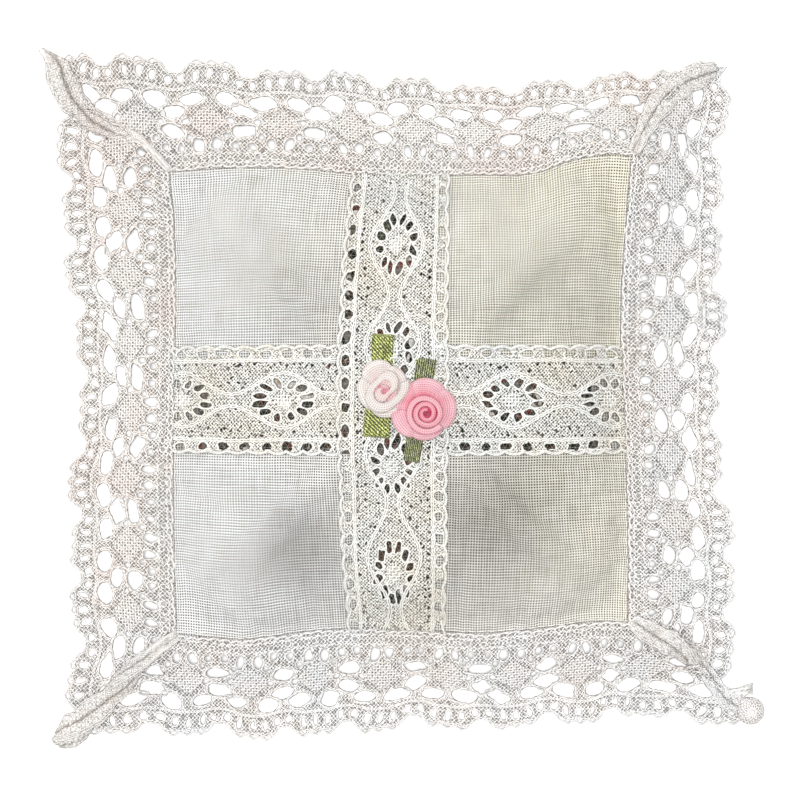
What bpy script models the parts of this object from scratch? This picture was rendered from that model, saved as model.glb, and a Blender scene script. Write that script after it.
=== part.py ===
"""A small lace-edged ring pillow, lying on its back.

The front is four squares of fine linen joined by a cross of insertion lace.
A net lining, a linen back and a loose petal filling lie under it, a wide lace
edging runs round it with a rolled mitre seam at each corner, and two ribbon
roses on looped leaf ribbons sit at the middle of the cross.

Units are metres and +Z is up. The origin is at the middle of the box's base.
Each cloth layer keeps LAYER_GAP to the next, so the layers lie one on another.
"""

import math

import bmesh
import bpy
from mathutils import Vector

MM = 0.001

# Driving dimensions
PANEL_HALF = 55.0 * MM  # middle of the pillow to its seam
SEAM_Z = 8.0 * MM  # height of the seam above the table
FRONT_RISE = 13.0 * MM  # how far the front's crown stands above the seam
SIDE_POWER = 3.0  # how late the crown falls away towards the seam
FLAT_SHARE = 1.6  # above 1, the belly of the back lies flat on the table
LAYER_GAP = 0.35 * MM  # between cloth layers, measured straight up
INSERTION_WIDTH = 25.0 * MM
INSERTION_LAP = 2.0 * MM  # how far the linen reaches under the insertion lace
INSERTION_X = -1.2 * MM  # the long band of the cross lies a little to the left
EDGING_VALLEY = 20.5 * MM  # seam to the bottom of a scallop
EDGING_TOP = 24.0 * MM  # seam to the top of a scallop
SCALLOP_PITCH = 16.0 * MM

# Cloth and thread thicknesses
LINEN_THICKNESS = 0.4 * MM
NET_THICKNESS = 0.25 * MM
LACE_THICKNESS = 0.8 * MM
STITCH_RADIUS = 0.25 * MM

# The heights of the front's layers, measured straight up from its crown
NET_TOP = -1.15 * MM
LINEN_TOP = -0.35 * MM
LACE_TOP = 0.95 * MM
FILLING_TOP = -1.85 * MM
FILLING_HALF = 51.0 * MM
BACK_DROP = 2.3 * MM  # the back's outside meets the seam this far under it

# Where each rolled corner seam ends, seen from above, and the seam's radii
CORNER_TIPS = {
    "top_left": (-85.0, 83.0),
    "top_right": (75.5, 77.5),
    "bottom_right": (85.0, -74.0),
    "bottom_left": (-83.0, -82.5),
}
CORNER_RADII = {
    "top_left": (1.0, 1.7, 2.1, 2.0, 0.4),
    "top_right": (1.0, 1.6, 1.9, 2.0, 2.2),
    "bottom_right": (1.0, 1.6, 1.8, 2.0, 2.9),
    "bottom_left": (1.0, 1.6, 2.0, 2.1, 1.6),
}
CORNER_SIGNS = {
    "top_left": (-1, 1),
    "top_right": (1, 1),
    "bottom_right": (1, -1),
    "bottom_left": (-1, -1),
}
SIDES = {
    "top": ("top_left", "top_right"),
    "right": ("top_right", "bottom_right"),
    "bottom": ("bottom_right", "bottom_left"),
    "left": ("bottom_left", "top_left"),
}

# Ribbon trim at the middle: places are in the plane of the table
WHITE_ROSE = {"centre": (-3.4 * MM, 2.8 * MM), "radius": 6.0 * MM, "height": 5.4 * MM}
PINK_ROSE = {"centre": (5.2 * MM, -1.9 * MM), "radius": 7.5 * MM, "height": 6.6 * MM}
LEAF_HEIGHT = 1.3 * MM
LEAF_WALL = 0.3 * MM
LIGHT_LEAF = {"ends": ((-4.0, 15.0), (-5.6, -8.6)), "width": 5.4 * MM}
DARK_LEAF = {"ends": ((5.9, 9.6), (2.4, -14.1)), "width": 4.3 * MM}


def clear_scene():
    for thing in list(bpy.data.objects):
        bpy.data.objects.remove(thing, do_unlink=True)


def material(name, colour, roughness):
    """A plain cloth colour for one kind of piece."""
    made = bpy.data.materials.new(name)
    made.use_nodes = True
    shader = made.node_tree.nodes["Principled BSDF"]
    shader.inputs["Base Color"].default_value = (*colour, 1.0)
    shader.inputs["Roughness"].default_value = roughness
    shader.inputs["Metallic"].default_value = 0.0
    return made


def new_object(name, mesh, finish):
    made = bpy.data.objects.new(name, mesh)
    bpy.context.scene.collection.objects.link(made)
    made.data.materials.append(finish)
    return made


def smooth(mesh, angle=40):
    mesh.shade_smooth()
    mesh.set_sharp_from_angle(angle=math.radians(angle))


# The pillow's two surfaces


def fall(u):
    """1 at the middle and 0 at the seam."""
    return max(0.0, 1.0 - (abs(u) / PANEL_HALF) ** SIDE_POWER)


def crown(x, y):
    """Height of the front."""
    return SEAM_Z + FRONT_RISE * fall(x) * fall(y)


def belly(x, y):
    """Height of the back's outside, which is flat where it lies on the table."""
    share = min(1.0, FLAT_SHARE * fall(x) * fall(y))
    return (SEAM_Z - BACK_DROP) * (1.0 - share)


def grid_mesh(name, columns, rows, place):
    """A sheet of columns by rows cells, with place(u, v) for u and v from 0 to 1."""
    shape = bmesh.new()
    bmesh.ops.create_grid(shape, x_segments=columns, y_segments=rows, size=0.5)
    for vertex in shape.verts:
        vertex.co = place(vertex.co.x + 0.5, vertex.co.y + 0.5)
    bmesh.ops.recalc_face_normals(shape, faces=shape.faces)
    if sum(face.normal.z for face in shape.faces) < 0:
        bmesh.ops.reverse_faces(shape, faces=shape.faces)
    mesh = bpy.data.meshes.new(name)
    shape.to_mesh(mesh)
    shape.free()
    smooth(mesh)
    return mesh


def cloth(name, columns, rows, place, thickness, finish):
    """A sheet given its thickness downwards."""
    made = new_object(name, grid_mesh(name, columns, rows, place), finish)
    wall = made.modifiers.new("thickness", "SOLIDIFY")
    wall.thickness = thickness
    wall.offset = -1.0
    return made


def on_front(x_range, y_range, lift):
    """place(u, v) for a rectangle that lies on the front, lifted by lift."""

    def place(u, v):
        x = x_range[0] + (x_range[1] - x_range[0]) * u
        y = y_range[0] + (y_range[1] - y_range[0]) * v
        return Vector((x, y, crown(x, y) + lift))

    return place


def tube(name, points, radii, finish, cyclic=False, sides=2):
    """A round cord through the points, with a radius at each."""
    line = bpy.data.curves.new(name, "CURVE")
    line.dimensions = "3D"
    line.bevel_depth = 1.0
    line.bevel_resolution = sides
    line.use_fill_caps = not cyclic
    spline = line.splines.new("POLY")
    spline.points.add(len(points) - 1)
    for target, point, radius in zip(spline.points, points, radii):
        target.co = (*point, 1.0)
        target.radius = radius
    spline.use_cyclic_u = cyclic
    return new_object(name, line, finish)


# Cloth pieces


def back_panel(finish):
    """The linen back, a shallow bowl that lies flat on the table."""

    def place(u, v):
        x, y = (2 * u - 1) * PANEL_HALF, (2 * v - 1) * PANEL_HALF
        return Vector((x, y, belly(x, y)))

    made = cloth("back_panel", 18, 18, place, LINEN_THICKNESS, finish)
    made.modifiers["thickness"].offset = 1.0


def petal_filling(finish):
    """The loose fill as one plain cushion between the net and the back."""
    lift = LINEN_THICKNESS / 0.8 + LAYER_GAP
    shape = bmesh.new()
    bmesh.ops.create_grid(shape, x_segments=18, y_segments=18, size=FILLING_HALF)
    for vertex in shape.verts:
        vertex.co.z = crown(vertex.co.x, vertex.co.y) + FILLING_TOP
    below = bmesh.ops.extrude_face_region(shape, geom=shape.faces[:])
    for vertex in below["geom"]:
        if isinstance(vertex, bmesh.types.BMVert):
            vertex.co.z = belly(vertex.co.x, vertex.co.y) + lift
    bmesh.ops.recalc_face_normals(shape, faces=shape.faces)
    mesh = bpy.data.meshes.new("petal_filling")
    shape.to_mesh(mesh)
    shape.free()
    smooth(mesh)
    new_object("petal_filling", mesh, finish)


def net_lining(finish):
    """The fine net behind the whole front, which keeps the filling in."""
    reach = (-PANEL_HALF, PANEL_HALF)
    cloth("net_lining", 18, 18, on_front(reach, reach, NET_TOP), NET_THICKNESS, finish)


def linen_squares(finish):
    """Four squares, each reaching a little way under the insertion lace."""
    inner = INSERTION_WIDTH / 2 - INSERTION_LAP
    for vertical, sign_y in (("top", 1), ("bottom", -1)):
        for side, sign_x in (("left", -1), ("right", 1)):
            x_range = sorted((INSERTION_X + sign_x * inner, sign_x * PANEL_HALF))
            y_range = sorted((sign_y * inner, sign_y * PANEL_HALF))
            place = on_front(x_range, y_range, LINEN_TOP)
            cloth(f"linen_square_{vertical}_{side}", 9, 9, place, LINEN_THICKNESS, finish)


def insertion_lace(finish):
    """The cross: one band from seam to seam, and two that butt up to it."""
    half = INSERTION_WIDTH / 2
    band = (INSERTION_X - half, INSERTION_X + half)
    whole = on_front(band, (-PANEL_HALF, PANEL_HALF), LACE_TOP)
    cloth("insertion_lace_vertical", 6, 22, whole, LACE_THICKNESS, finish)
    spans = {
        "left": (-PANEL_HALF, band[0] - LAYER_GAP),
        "right": (band[1] + LAYER_GAP, PANEL_HALF),
    }
    for side, span in spans.items():
        place = on_front(span, (-half, half), LACE_TOP)
        cloth(f"insertion_lace_{side}", 9, 6, place, LACE_THICKNESS, finish)


# The edging and its corner seams


def panel_corner(corner):
    sign_x, sign_y = CORNER_SIGNS[corner]
    return Vector((sign_x * PANEL_HALF, sign_y * PANEL_HALF))


def corner_tip(corner):
    x, y = CORNER_TIPS[corner]
    return Vector((x * MM, y * MM))


SEAM_STATIONS = (0.0, 0.2, 0.5, 0.8, 1.0)
SEAM_HEAD_Z = 9.8 * MM  # height of the rolled seam's middle at the pillow's corner
SEAM_FOOT_GAP = 0.4 * MM  # from the table to the underside of the seam's tip
SEAM_SWAY = 0.4 * MM  # how far the rolled seam wanders from a straight line
SEAM_CLEARANCE = 2.8 * MM  # the edging's ends stop this far from the seam's middle
EDGING_START = 0.4 * MM  # the edging starts just outside the seam
EDGING_FOOT_Z = 1.1 * MM  # height of the edging's top at its scallops
EDGING_END = 24.5 * MM  # how far the edging reaches past the pillow's corner


def ease(t):
    """From 0 to 1 with a level start and end, as limp lace hangs."""
    return t * t * (3 - 2 * t)


def station_value(values, t):
    """A value between the stations of a rolled seam, by straight lines."""
    for i in range(len(SEAM_STATIONS) - 1):
        low, high = SEAM_STATIONS[i], SEAM_STATIONS[i + 1]
        if t <= high:
            return values[i] + (values[i + 1] - values[i]) * (t - low) / (high - low)
    return values[-1]


def corner_seams(finish):
    """A rolled, whipped mitre seam from each corner of the pillow to its tip."""
    steps = 16
    for corner, radii in CORNER_RADII.items():
        start, tip = panel_corner(corner), corner_tip(corner)
        outward = (tip - start).normalized()
        aside = Vector((-outward.y, outward.x))
        reach = (tip - start).length - radii[-1] * MM
        foot = radii[-1] * MM + SEAM_FOOT_GAP
        points, widths = [], []
        for i in range(steps + 1):
            t = i / steps
            sway = SEAM_SWAY * math.sin(math.pi * 2 * t)
            flat = start + outward * (1.2 * MM + (reach - 1.2 * MM) * t) + aside * sway
            z = SEAM_HEAD_Z + (foot - SEAM_HEAD_Z) * ease(t)
            points.append((flat.x, flat.y, z))
            widths.append(station_value(radii, t) * MM)
        if radii[-1] > 1:
            # The end is rounded off by a short dome.
            last = Vector(points[-1])
            ahead = Vector((outward.x, outward.y, 0.0))
            for angle in (35, 62, 80):
                a = math.radians(angle)
                points.append(tuple(last + ahead * widths[steps] * math.sin(a)))
                widths.append(widths[steps] * math.cos(a))
        tube(f"corner_seam_{corner}", points, widths, finish, sides=3)


def scallop(distance):
    """Width of the edging at a distance along it, from valley to top."""
    wave = abs(math.cos(math.pi * distance / SCALLOP_PITCH))
    return EDGING_VALLEY + (EDGING_TOP - EDGING_VALLEY) * wave**0.7


def edging_side(side, finish):
    """One length of edging lace, from mitre to mitre, falling to the table."""
    first, second = SIDES[side]
    start, end = panel_corner(first), panel_corner(second)
    length = (end - start).length
    along = (end - start).normalized()
    outward = Vector((-along.y, along.x))
    runs = [corner_tip(first) - start, corner_tip(second) - end]

    def mitre(run, out):
        """How far the end reaches past the pillow's corner, at this distance out."""
        reach = abs(run.dot(along) / run.dot(outward)) * out
        return min(reach, EDGING_END) - SEAM_CLEARANCE / abs(run.normalized().dot(outward))

    def place(u, v):
        out = v * EDGING_VALLEY
        for _ in range(4):
            low, high = -mitre(runs[0], out), length + mitre(runs[1], out)
            distance = low + (high - low) * u
            out = EDGING_START + v * (scallop(distance - length / 2) - EDGING_START)
        z = SEAM_Z + LACE_TOP + (EDGING_FOOT_Z - SEAM_Z - LACE_TOP) * ease(v)
        flat = start + along * distance + outward * out
        return Vector((flat.x, flat.y, z))

    cloth(f"edging_lace_{side}", 72, 5, place, LACE_THICKNESS, finish)


# Stitching


def stitch_line(name, start, end, steps, finish):
    """A straight line of sewing thread that lies on the lace."""
    points = []
    for i in range(steps + 1):
        flat = Vector(start).lerp(Vector(end), i / steps)
        lift = LACE_TOP + LAYER_GAP + STITCH_RADIUS
        points.append((flat.x, flat.y, crown(flat.x, flat.y) + lift))
    tube(name, points, [STITCH_RADIUS] * len(points), finish)


def insertion_stitching(finish):
    """The rows of stitching that hold the insertion lace to the linen."""
    inset = 1.0 * MM
    end = PANEL_HALF - 1.6 * MM
    near = INSERTION_WIDTH / 2 - inset
    for side, sign in (("left", -1), ("right", 1)):
        x = INSERTION_X + sign * near
        stitch_line(f"stitching_vertical_{side}", (x, -end), (x, end), 30, finish)
        inner = INSERTION_X + sign * (INSERTION_WIDTH / 2 + inset)
        for edge, sign_y in (("upper", 1), ("lower", -1)):
            y = sign_y * near
            name = f"stitching_{side}_{edge}"
            stitch_line(name, (inner, y), (sign * end, y), 12, finish)


def perimeter_stitching(finish):
    """The closed row of topstitching just inside the seam."""
    half = PANEL_HALF - 0.8 * MM
    per_side = 24
    corners = [(half, half), (-half, half), (-half, -half), (half, -half)]
    points = []
    for i in range(4):
        start, end = Vector(corners[i]), Vector(corners[(i + 1) % 4])
        for step in range(per_side):
            flat = start.lerp(end, step / per_side)
            lift = LACE_TOP + LAYER_GAP + STITCH_RADIUS
            points.append((flat.x, flat.y, crown(flat.x, flat.y) + lift))
    tube("perimeter_stitching", points, [STITCH_RADIUS] * len(points), finish, cyclic=True)


# Ribbon trim

TRIM_BASE = SEAM_Z + FRONT_RISE + LACE_TOP + LAYER_GAP
ROSE_BASE = TRIM_BASE + LEAF_HEIGHT + LAYER_GAP


def leaf_ribbon(name, leaf, finish):
    """One ribbon sewn into a flat loop, whose folded ends show as two leaves."""
    first, second = (Vector(end) * MM for end in leaf["ends"])
    run = second - first
    outer, inner = LEAF_HEIGHT / 2, LEAF_HEIGHT / 2 - LEAF_WALL
    straight = run.length / 2 - outer
    arc = 6
    shape = bmesh.new()
    rings = []
    for radius in (outer, inner):
        ring = []
        for end in (1, -1):
            for i in range(arc + 1):
                a = math.radians(-90 + 180 * i / arc)
                x = end * (straight + radius * math.cos(a))
                ring.append(shape.verts.new((x, 0.0, end * radius * math.sin(a))))
        rings.append(ring)
    edges = []
    for ring in rings:
        for i, vertex in enumerate(ring):
            edges.append(shape.edges.new((vertex, ring[(i + 1) % len(ring)])))
    wall = bmesh.ops.bridge_loops(shape, edges=edges)["faces"]
    made = bmesh.ops.extrude_face_region(shape, geom=wall)
    for item in made["geom"]:
        if isinstance(item, bmesh.types.BMVert):
            item.co.y += leaf["width"]
    for vertex in shape.verts:
        vertex.co.y -= leaf["width"] / 2
    bmesh.ops.recalc_face_normals(shape, faces=shape.faces)
    mesh = bpy.data.meshes.new(name)
    shape.to_mesh(mesh)
    shape.free()
    smooth(mesh)
    placed = new_object(name, mesh, finish)
    middle = (first + second) / 2
    placed.location = (middle.x, middle.y, TRIM_BASE + LEAF_HEIGHT / 2)
    placed.rotation_euler.z = math.atan2(run.y, run.x)


def rose(name, rose_size, finish):
    """A ribbon rose: a bud inside two rolled rounds of ribbon."""
    radius, height = rose_size["radius"], rose_size["height"]
    # (share of the radius, share of the height) from the base's middle to the top's
    outline = [
        (0.0, 0.0),
        (0.62, 0.0),
        (0.9, 0.1),
        (1.0, 0.32),
        (0.96, 0.55),
        (0.82, 0.68),
        (0.66, 0.62),
        (0.63, 0.74),
        (0.52, 0.86),
        (0.36, 0.8),
        (0.33, 0.92),
        (0.2, 1.0),
        (0.0, 0.96),
    ]
    shape = bmesh.new()
    line = [shape.verts.new((radius * r, 0.0, height * h)) for r, h in outline]
    edges = [shape.edges.new(pair) for pair in zip(line, line[1:])]
    bmesh.ops.spin(
        shape,
        geom=line + edges,
        axis=(0, 0, 1),
        cent=(0, 0, 0),
        angle=2 * math.pi,
        steps=28,
    )
    bmesh.ops.remove_doubles(shape, verts=shape.verts, dist=0.00001)
    bmesh.ops.recalc_face_normals(shape, faces=shape.faces)
    mesh = bpy.data.meshes.new(name)
    shape.to_mesh(mesh)
    shape.free()
    smooth(mesh, 60)
    made = new_object(name, mesh, finish)
    made.location = (*rose_size["centre"], ROSE_BASE)
    return made


def fit_roses(white):
    """The pink rose presses into the side of the white one."""
    bpy.ops.mesh.primitive_cylinder_add(
        vertices=40,
        radius=PINK_ROSE["radius"] + LAYER_GAP,
        depth=0.03,
        location=(*PINK_ROSE["centre"], ROSE_BASE),
    )
    cutter = bpy.context.object
    cutter.name = "rose_cutter"
    cutter.hide_render = True
    cutter.display_type = "WIRE"
    cut = white.modifiers.new("pressed side", "BOOLEAN")
    cut.operation = "DIFFERENCE"
    cut.object = cutter


def main():
    clear_scene()
    linen = material("linen", (0.80, 0.80, 0.76), 0.9)
    lace = material("cotton_lace", (0.86, 0.85, 0.82), 0.9)
    net = material("net", (0.75, 0.75, 0.73), 0.8)
    petals = material("dried_petals", (0.16, 0.10, 0.06), 0.95)
    thread = material("sewing_thread", (0.88, 0.87, 0.84), 0.7)
    white_satin = material("white_satin", (0.90, 0.84, 0.81), 0.45)
    pink_satin = material("pink_satin", (0.86, 0.36, 0.44), 0.45)
    light_green = material("light_green_satin", (0.36, 0.42, 0.10), 0.5)
    dark_green = material("dark_green_satin", (0.15, 0.20, 0.07), 0.5)

    back_panel(linen)
    petal_filling(petals)
    net_lining(net)
    linen_squares(linen)
    insertion_lace(lace)
    for side in SIDES:
        edging_side(side, lace)
    corner_seams(lace)
    perimeter_stitching(thread)
    insertion_stitching(thread)
    leaf_ribbon("leaf_ribbon_light", LIGHT_LEAF, light_green)
    leaf_ribbon("leaf_ribbon_dark", DARK_LEAF, dark_green)
    rose("ribbon_rose_pink", PINK_ROSE, pink_satin)
    fit_roses(rose("ribbon_rose_white", WHITE_ROSE, white_satin))


main()
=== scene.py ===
"""The looks of a lace-edged ring pillow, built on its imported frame.

The cover's crown is a formula, and a cloth simulation adds its small folds.
Every layer of the front is laid on it: linen squares, a tulle lining and the
insertion lace, whose threads are real geometry. The edging lace falls from the
seam to the table. Dried petals show through the holes of the insertion, and two
ribbon roses sit at its crossing.

Lengths are in millimetres here and are turned to metres as each mesh is made.
"""

import math

import bpy
import numpy as np
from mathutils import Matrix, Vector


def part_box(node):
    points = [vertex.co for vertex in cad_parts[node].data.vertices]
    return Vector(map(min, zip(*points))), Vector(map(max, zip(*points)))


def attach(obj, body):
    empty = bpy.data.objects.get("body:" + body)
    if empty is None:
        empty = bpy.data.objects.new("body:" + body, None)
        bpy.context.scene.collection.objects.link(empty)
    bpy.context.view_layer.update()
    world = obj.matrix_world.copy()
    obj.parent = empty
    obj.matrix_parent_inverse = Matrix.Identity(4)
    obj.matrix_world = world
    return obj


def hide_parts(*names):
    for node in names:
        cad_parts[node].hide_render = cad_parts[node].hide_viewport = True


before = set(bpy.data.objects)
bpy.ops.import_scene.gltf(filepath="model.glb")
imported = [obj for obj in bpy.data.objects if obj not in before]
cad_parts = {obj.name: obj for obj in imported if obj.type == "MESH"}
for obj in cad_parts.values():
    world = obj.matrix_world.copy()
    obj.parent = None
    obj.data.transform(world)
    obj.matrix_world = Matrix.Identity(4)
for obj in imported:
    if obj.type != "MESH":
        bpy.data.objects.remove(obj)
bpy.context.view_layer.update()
MM = 0.001

# Sizes of the cloth and its threads
LINEN_PITCH = 0.62  # the cloth has a thread each 0.45 mm; drawn a little coarser to show
LINEN_THICKNESS = 0.25
INSERTION_PITCH = 0.58  # the nets of both laces are a little coarser too, to show
EDGING_PITCH = 0.66
THREAD = 0.23  # radius of a lace thread
CORD = 0.25  # radius of the cords that outline the insertion
RIM = 0.19  # radius of the threads round the edging's holes
SCALLOP = 16.0  # one repeat of the edging
EDGING_DEPTH = 24.0  # seam to the top of a scallop

# Heights above the linen of what lies on it
LACE_LIFT = 0.55
NET_LIFT = -0.9
STITCH_LIFT = 1.0

UP = np.array((0.0, 0.0, 1.0))


def box_mm(node):
    """A node's lowest and highest corners, in millimetres."""
    low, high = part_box(node)
    return np.array(low) / MM, np.array(high) / MM


def seam_half():
    """Middle of the pillow to its seam."""
    low, high = box_mm("back_panel")
    return (high[0] - low[0]) / 2


def band(node, axis):
    """Middle and half width of a straight band across one axis."""
    low, high = box_mm(node)
    return (low[axis] + high[axis]) / 2, (high[axis] - low[axis]) / 2


HALF = seam_half()
SEAM_Z = box_mm("net_lining")[0][2] + 1.4
CROWN_Z = box_mm("insertion_lace_vertical")[1][2] - 0.95
BAND_X, BAND_HALF = band("insertion_lace_vertical", 0)
BAND_Y = band("insertion_lace_left", 1)[0]


# Small helpers


def unit(vectors):
    length = np.linalg.norm(vectors, axis=-1, keepdims=True)
    return vectors / np.maximum(length, 1e-9)


def drift(x, y, seed):
    """A smooth, random-looking value from -1 to 1 over the plane, in millimetres."""
    rng = np.random.default_rng(seed)
    total = np.zeros_like(x, dtype=float)
    for size in (37.0, 19.0, 9.0):
        angle, phase = rng.uniform(0, 6.28, 2)
        across = x * math.cos(angle) + y * math.sin(angle)
        total = total + np.sin(across / size * 6.28 + phase)
    return total / 3


def ease(t):
    t = np.clip(t, 0, 1)
    return t * t * (3 - 2 * t)


def mesh_piece(name, points, faces, finish, uv=None, marks=None):
    """One piece of the object, from points in millimetres."""
    mesh = bpy.data.meshes.new(name)
    mesh.from_pydata((np.asarray(points) * MM).tolist(), [], faces)
    if uv is not None:
        layer = mesh.uv_layers.new(name="UVMap")
        corner = np.empty(len(mesh.loops), dtype=np.int32)
        mesh.loops.foreach_get("vertex_index", corner)
        layer.data.foreach_set("uv", np.asarray(uv)[corner].ravel())
    for label, values in (marks or {}).items():
        values = np.asarray(values, dtype=float)
        if values.ndim == 1:
            mark = mesh.attributes.new(label, "FLOAT", "POINT")
            mark.data.foreach_set("value", values)
        else:
            mark = mesh.attributes.new(label, "FLOAT_COLOR", "POINT")
            mark.data.foreach_set("color", values.ravel())
    mesh.validate()
    mesh.shade_smooth()
    piece = bpy.data.objects.new(name, mesh)
    bpy.context.scene.collection.objects.link(piece)
    mesh.materials.append(finish)
    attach(piece, "root")
    return piece


def taken_mesh(piece):
    """The points and faces of an object, which is removed."""
    points = np.array([vertex.co[:] for vertex in piece.data.vertices])
    faces = [list(face.vertices) for face in piece.data.polygons]
    bpy.data.objects.remove(piece, do_unlink=True)
    return points, faces


def grid_faces(rows, columns, flip=False):
    """Four-cornered faces of a grid of rows by columns points."""
    index = np.arange(rows * columns).reshape(rows, columns)
    faces = np.stack([index[:-1, :-1], index[1:, :-1], index[1:, 1:], index[:-1, 1:]], -1)
    faces = faces.reshape(-1, 4)
    return faces[:, ::-1] if flip else faces


def shell_faces(rows, columns):
    """Faces of a grid, of a like grid under it and of the rim that joins them."""
    count = rows * columns
    index = np.arange(count).reshape(rows, columns)
    rim = np.concatenate([index[:-1, 0], index[-1, :-1], index[:0:-1, -1], index[0, :0:-1]])
    after = np.roll(rim, -1)
    walls = np.stack([rim, rim + count, after + count, after], -1)
    under = grid_faces(rows, columns, True) + count
    return np.vstack([grid_faces(rows, columns), under, walls])


def sheet_piece(name, top, thickness, finish, uv, marks=None):
    """A closed cloth sheet below a grid of points, with its own UV in millimetres."""
    upper = top.reshape(-1, 3)
    ahead = np.gradient(top, axis=0).reshape(-1, 3)
    aside = np.gradient(top, axis=1).reshape(-1, 3)
    lower = upper - unit(np.cross(ahead, aside)) * thickness
    faces = shell_faces(*top.shape[:2]).tolist()
    uv = np.vstack([uv.reshape(-1, 2)] * 2)
    marks = {k: np.concatenate([v.reshape(-1)] * 2) for k, v in (marks or {}).items()}
    return mesh_piece(name, np.vstack([upper, lower]), faces, finish, uv, marks)


def thinned(line):
    """The line without every second point, where that lies straight between its
    neighbours, so long runs of thread cost fewer faces."""
    off = np.abs(line[1:-1] - (line[:-2] + line[2:]) / 2)
    straight = (off < np.array((0.06, 0.06, 0.06, 0.25))[: line.shape[1]]).all(axis=1)
    turn = np.arange(len(straight)) % 2
    dropped = max((straight & (turn == 0), straight & (turn == 1)), key=np.sum)
    return line[np.concatenate([[True], ~dropped, [True]])]


def thread_mesh(lines, radius, sides=4):
    """Points, faces and shade of a round thread along each line, closed at its ends.

    A line's fourth column says how far each point stands out of the lace, and sets its painted light.
    Round each thread that painted light falls from its top to near nothing on its sides and underside:
    painted shade that outlines each thread."""
    lines = [thinned(line) for line in lines if len(line) > 1]
    points = np.concatenate(lines)
    stands = points[:, 3] if points.shape[1] > 3 else np.ones(len(points))
    points = points[:, :3]
    counts = np.array([len(line) for line in lines])
    first = np.cumsum(counts) - counts
    last = first + counts - 1
    ahead, behind = np.roll(points, -1, axis=0), np.roll(points, 1, axis=0)
    ahead[last], behind[first] = points[last], points[first]
    along = unit(ahead - behind)
    side = unit(np.cross(along, UP))
    up = np.cross(side, along)
    turn = np.arange(sides) * 2 * math.pi / sides
    ring = np.cos(turn)[:, None] * side[:, None] + np.sin(turn)[:, None] * up[:, None]
    ring = points[:, None] + radius * ring
    # Painted shade: lit on the thread's top, darkened on its sides and underside.
    shade = np.clip(stands[:, None] * (0.12 + 0.88 * np.clip(np.sin(turn), 0, 1)), 0, 1)
    start = np.delete(np.arange(len(points)), last)
    k, after = np.arange(sides), (np.arange(sides) + 1) % sides
    here, there = start[:, None] * sides, (start[:, None] + 1) * sides
    walls = np.stack([here + k, there + k, there + after, here + after], -1).reshape(-1, 4)
    caps = np.vstack([first[:, None] * sides + k, last[:, None] * sides + k[::-1]])
    return ring.reshape(-1, 3), walls.tolist() + caps.tolist(), shade.ravel()


def thread_piece(name, lines, radius, finish, sides=4):
    """Many threads as one piece."""
    points, faces, shade = thread_mesh(lines, radius, sides)
    return mesh_piece(name, points, faces, finish, None, {"painted_light": shade})


def twisted(line, period=0.9, low=0.55):
    """The line with painted shade that darkens the grooves between its twisted plies."""
    way = np.concatenate([[0], np.cumsum(np.linalg.norm(np.diff(line, axis=0), axis=1))])
    shade = low + (1 - low) * (0.5 + 0.5 * np.cos(2 * math.pi * way / period))
    return np.column_stack([line, shade])


# The stuffed cover


def fall(u):
    return np.clip(1 - np.abs(u / HALF) ** 3, 0, 1)


COVER_CELLS = 72
SIM_SCALE = 0.02  # the cloth solver is steadier on a cushion about 2 m wide


def cover_start():
    """The cut of the cover: a front and a back grid that share their rim."""
    n = COVER_CELLS + 1
    line = np.linspace(-HALF, HALF, n)
    x, y = np.meshgrid(line, line, indexing="ij")
    height = 10.0 * fall(x) * fall(y)
    rim = np.ones((n, n), bool)
    rim[1:-1, 1:-1] = False
    front = np.arange(n * n).reshape(n, n)
    back = front.copy()
    back[~rim] = n * n + np.arange((~rim).sum())
    points = np.stack([x, y, height], -1).reshape(-1, 3)
    under = np.stack([x[~rim], y[~rim], -height[~rim]], -1)
    return np.vstack([points, under]), front, back, rim


def stuffed_cover():
    """Front and back grids of points of the cover, after it is filled."""
    points, front, back, rim = cover_start()
    mesh = bpy.data.meshes.new("cover")
    cells = np.stack([front[:-1, :-1], front[1:, :-1], front[1:, 1:], front[:-1, 1:]], -1)
    under = np.stack([back[:-1, :-1], back[:-1, 1:], back[1:, 1:], back[1:, :-1]], -1)
    faces = np.vstack([cells.reshape(-1, 4), under.reshape(-1, 4)]).tolist()
    mesh.from_pydata((points * SIM_SCALE).tolist(), [], faces)
    cover = bpy.data.objects.new("cover", mesh)
    bpy.context.scene.collection.objects.link(cover)
    held = cover.vertex_groups.new(name="rim")
    held.add([int(i) for i in front[rim]], 1.0, "REPLACE")
    cloth = cover.modifiers.new("cloth", "CLOTH")
    fill = cloth.settings
    fill.quality = 6
    fill.mass = 0.3
    fill.tension_stiffness = fill.compression_stiffness = 30
    fill.shear_stiffness = 10
    fill.bending_stiffness = 0.03
    fill.vertex_group_mass = "rim"
    fill.pin_stiffness = 1.0
    fill.use_pressure = True
    fill.uniform_pressure_force = 0.45
    fill.shrink_min = -0.03
    fill.effector_weights.gravity = 0
    cloth.collision_settings.use_collision = False
    for number in range(1, 21):
        bpy.context.scene.frame_set(number)
    settled = cover.evaluated_get(bpy.context.evaluated_depsgraph_get()).to_mesh()
    found = np.empty(len(settled.vertices) * 3)
    settled.vertices.foreach_get("co", found)
    points = found.reshape(-1, 3) / SIM_SCALE
    bpy.data.objects.remove(cover, do_unlink=True)
    bpy.context.scene.frame_set(1)
    return shaped_cover(points[front], points[back])


def smoothed(grid, rounds):
    for _ in range(rounds):
        padded = np.pad(grid, 1, mode="edge")
        grid = (padded[:-2, 1:-1] + padded[2:, 1:-1] + padded[1:-1, :-2] + padded[1:-1, 2:]) / 4
    return grid


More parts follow.
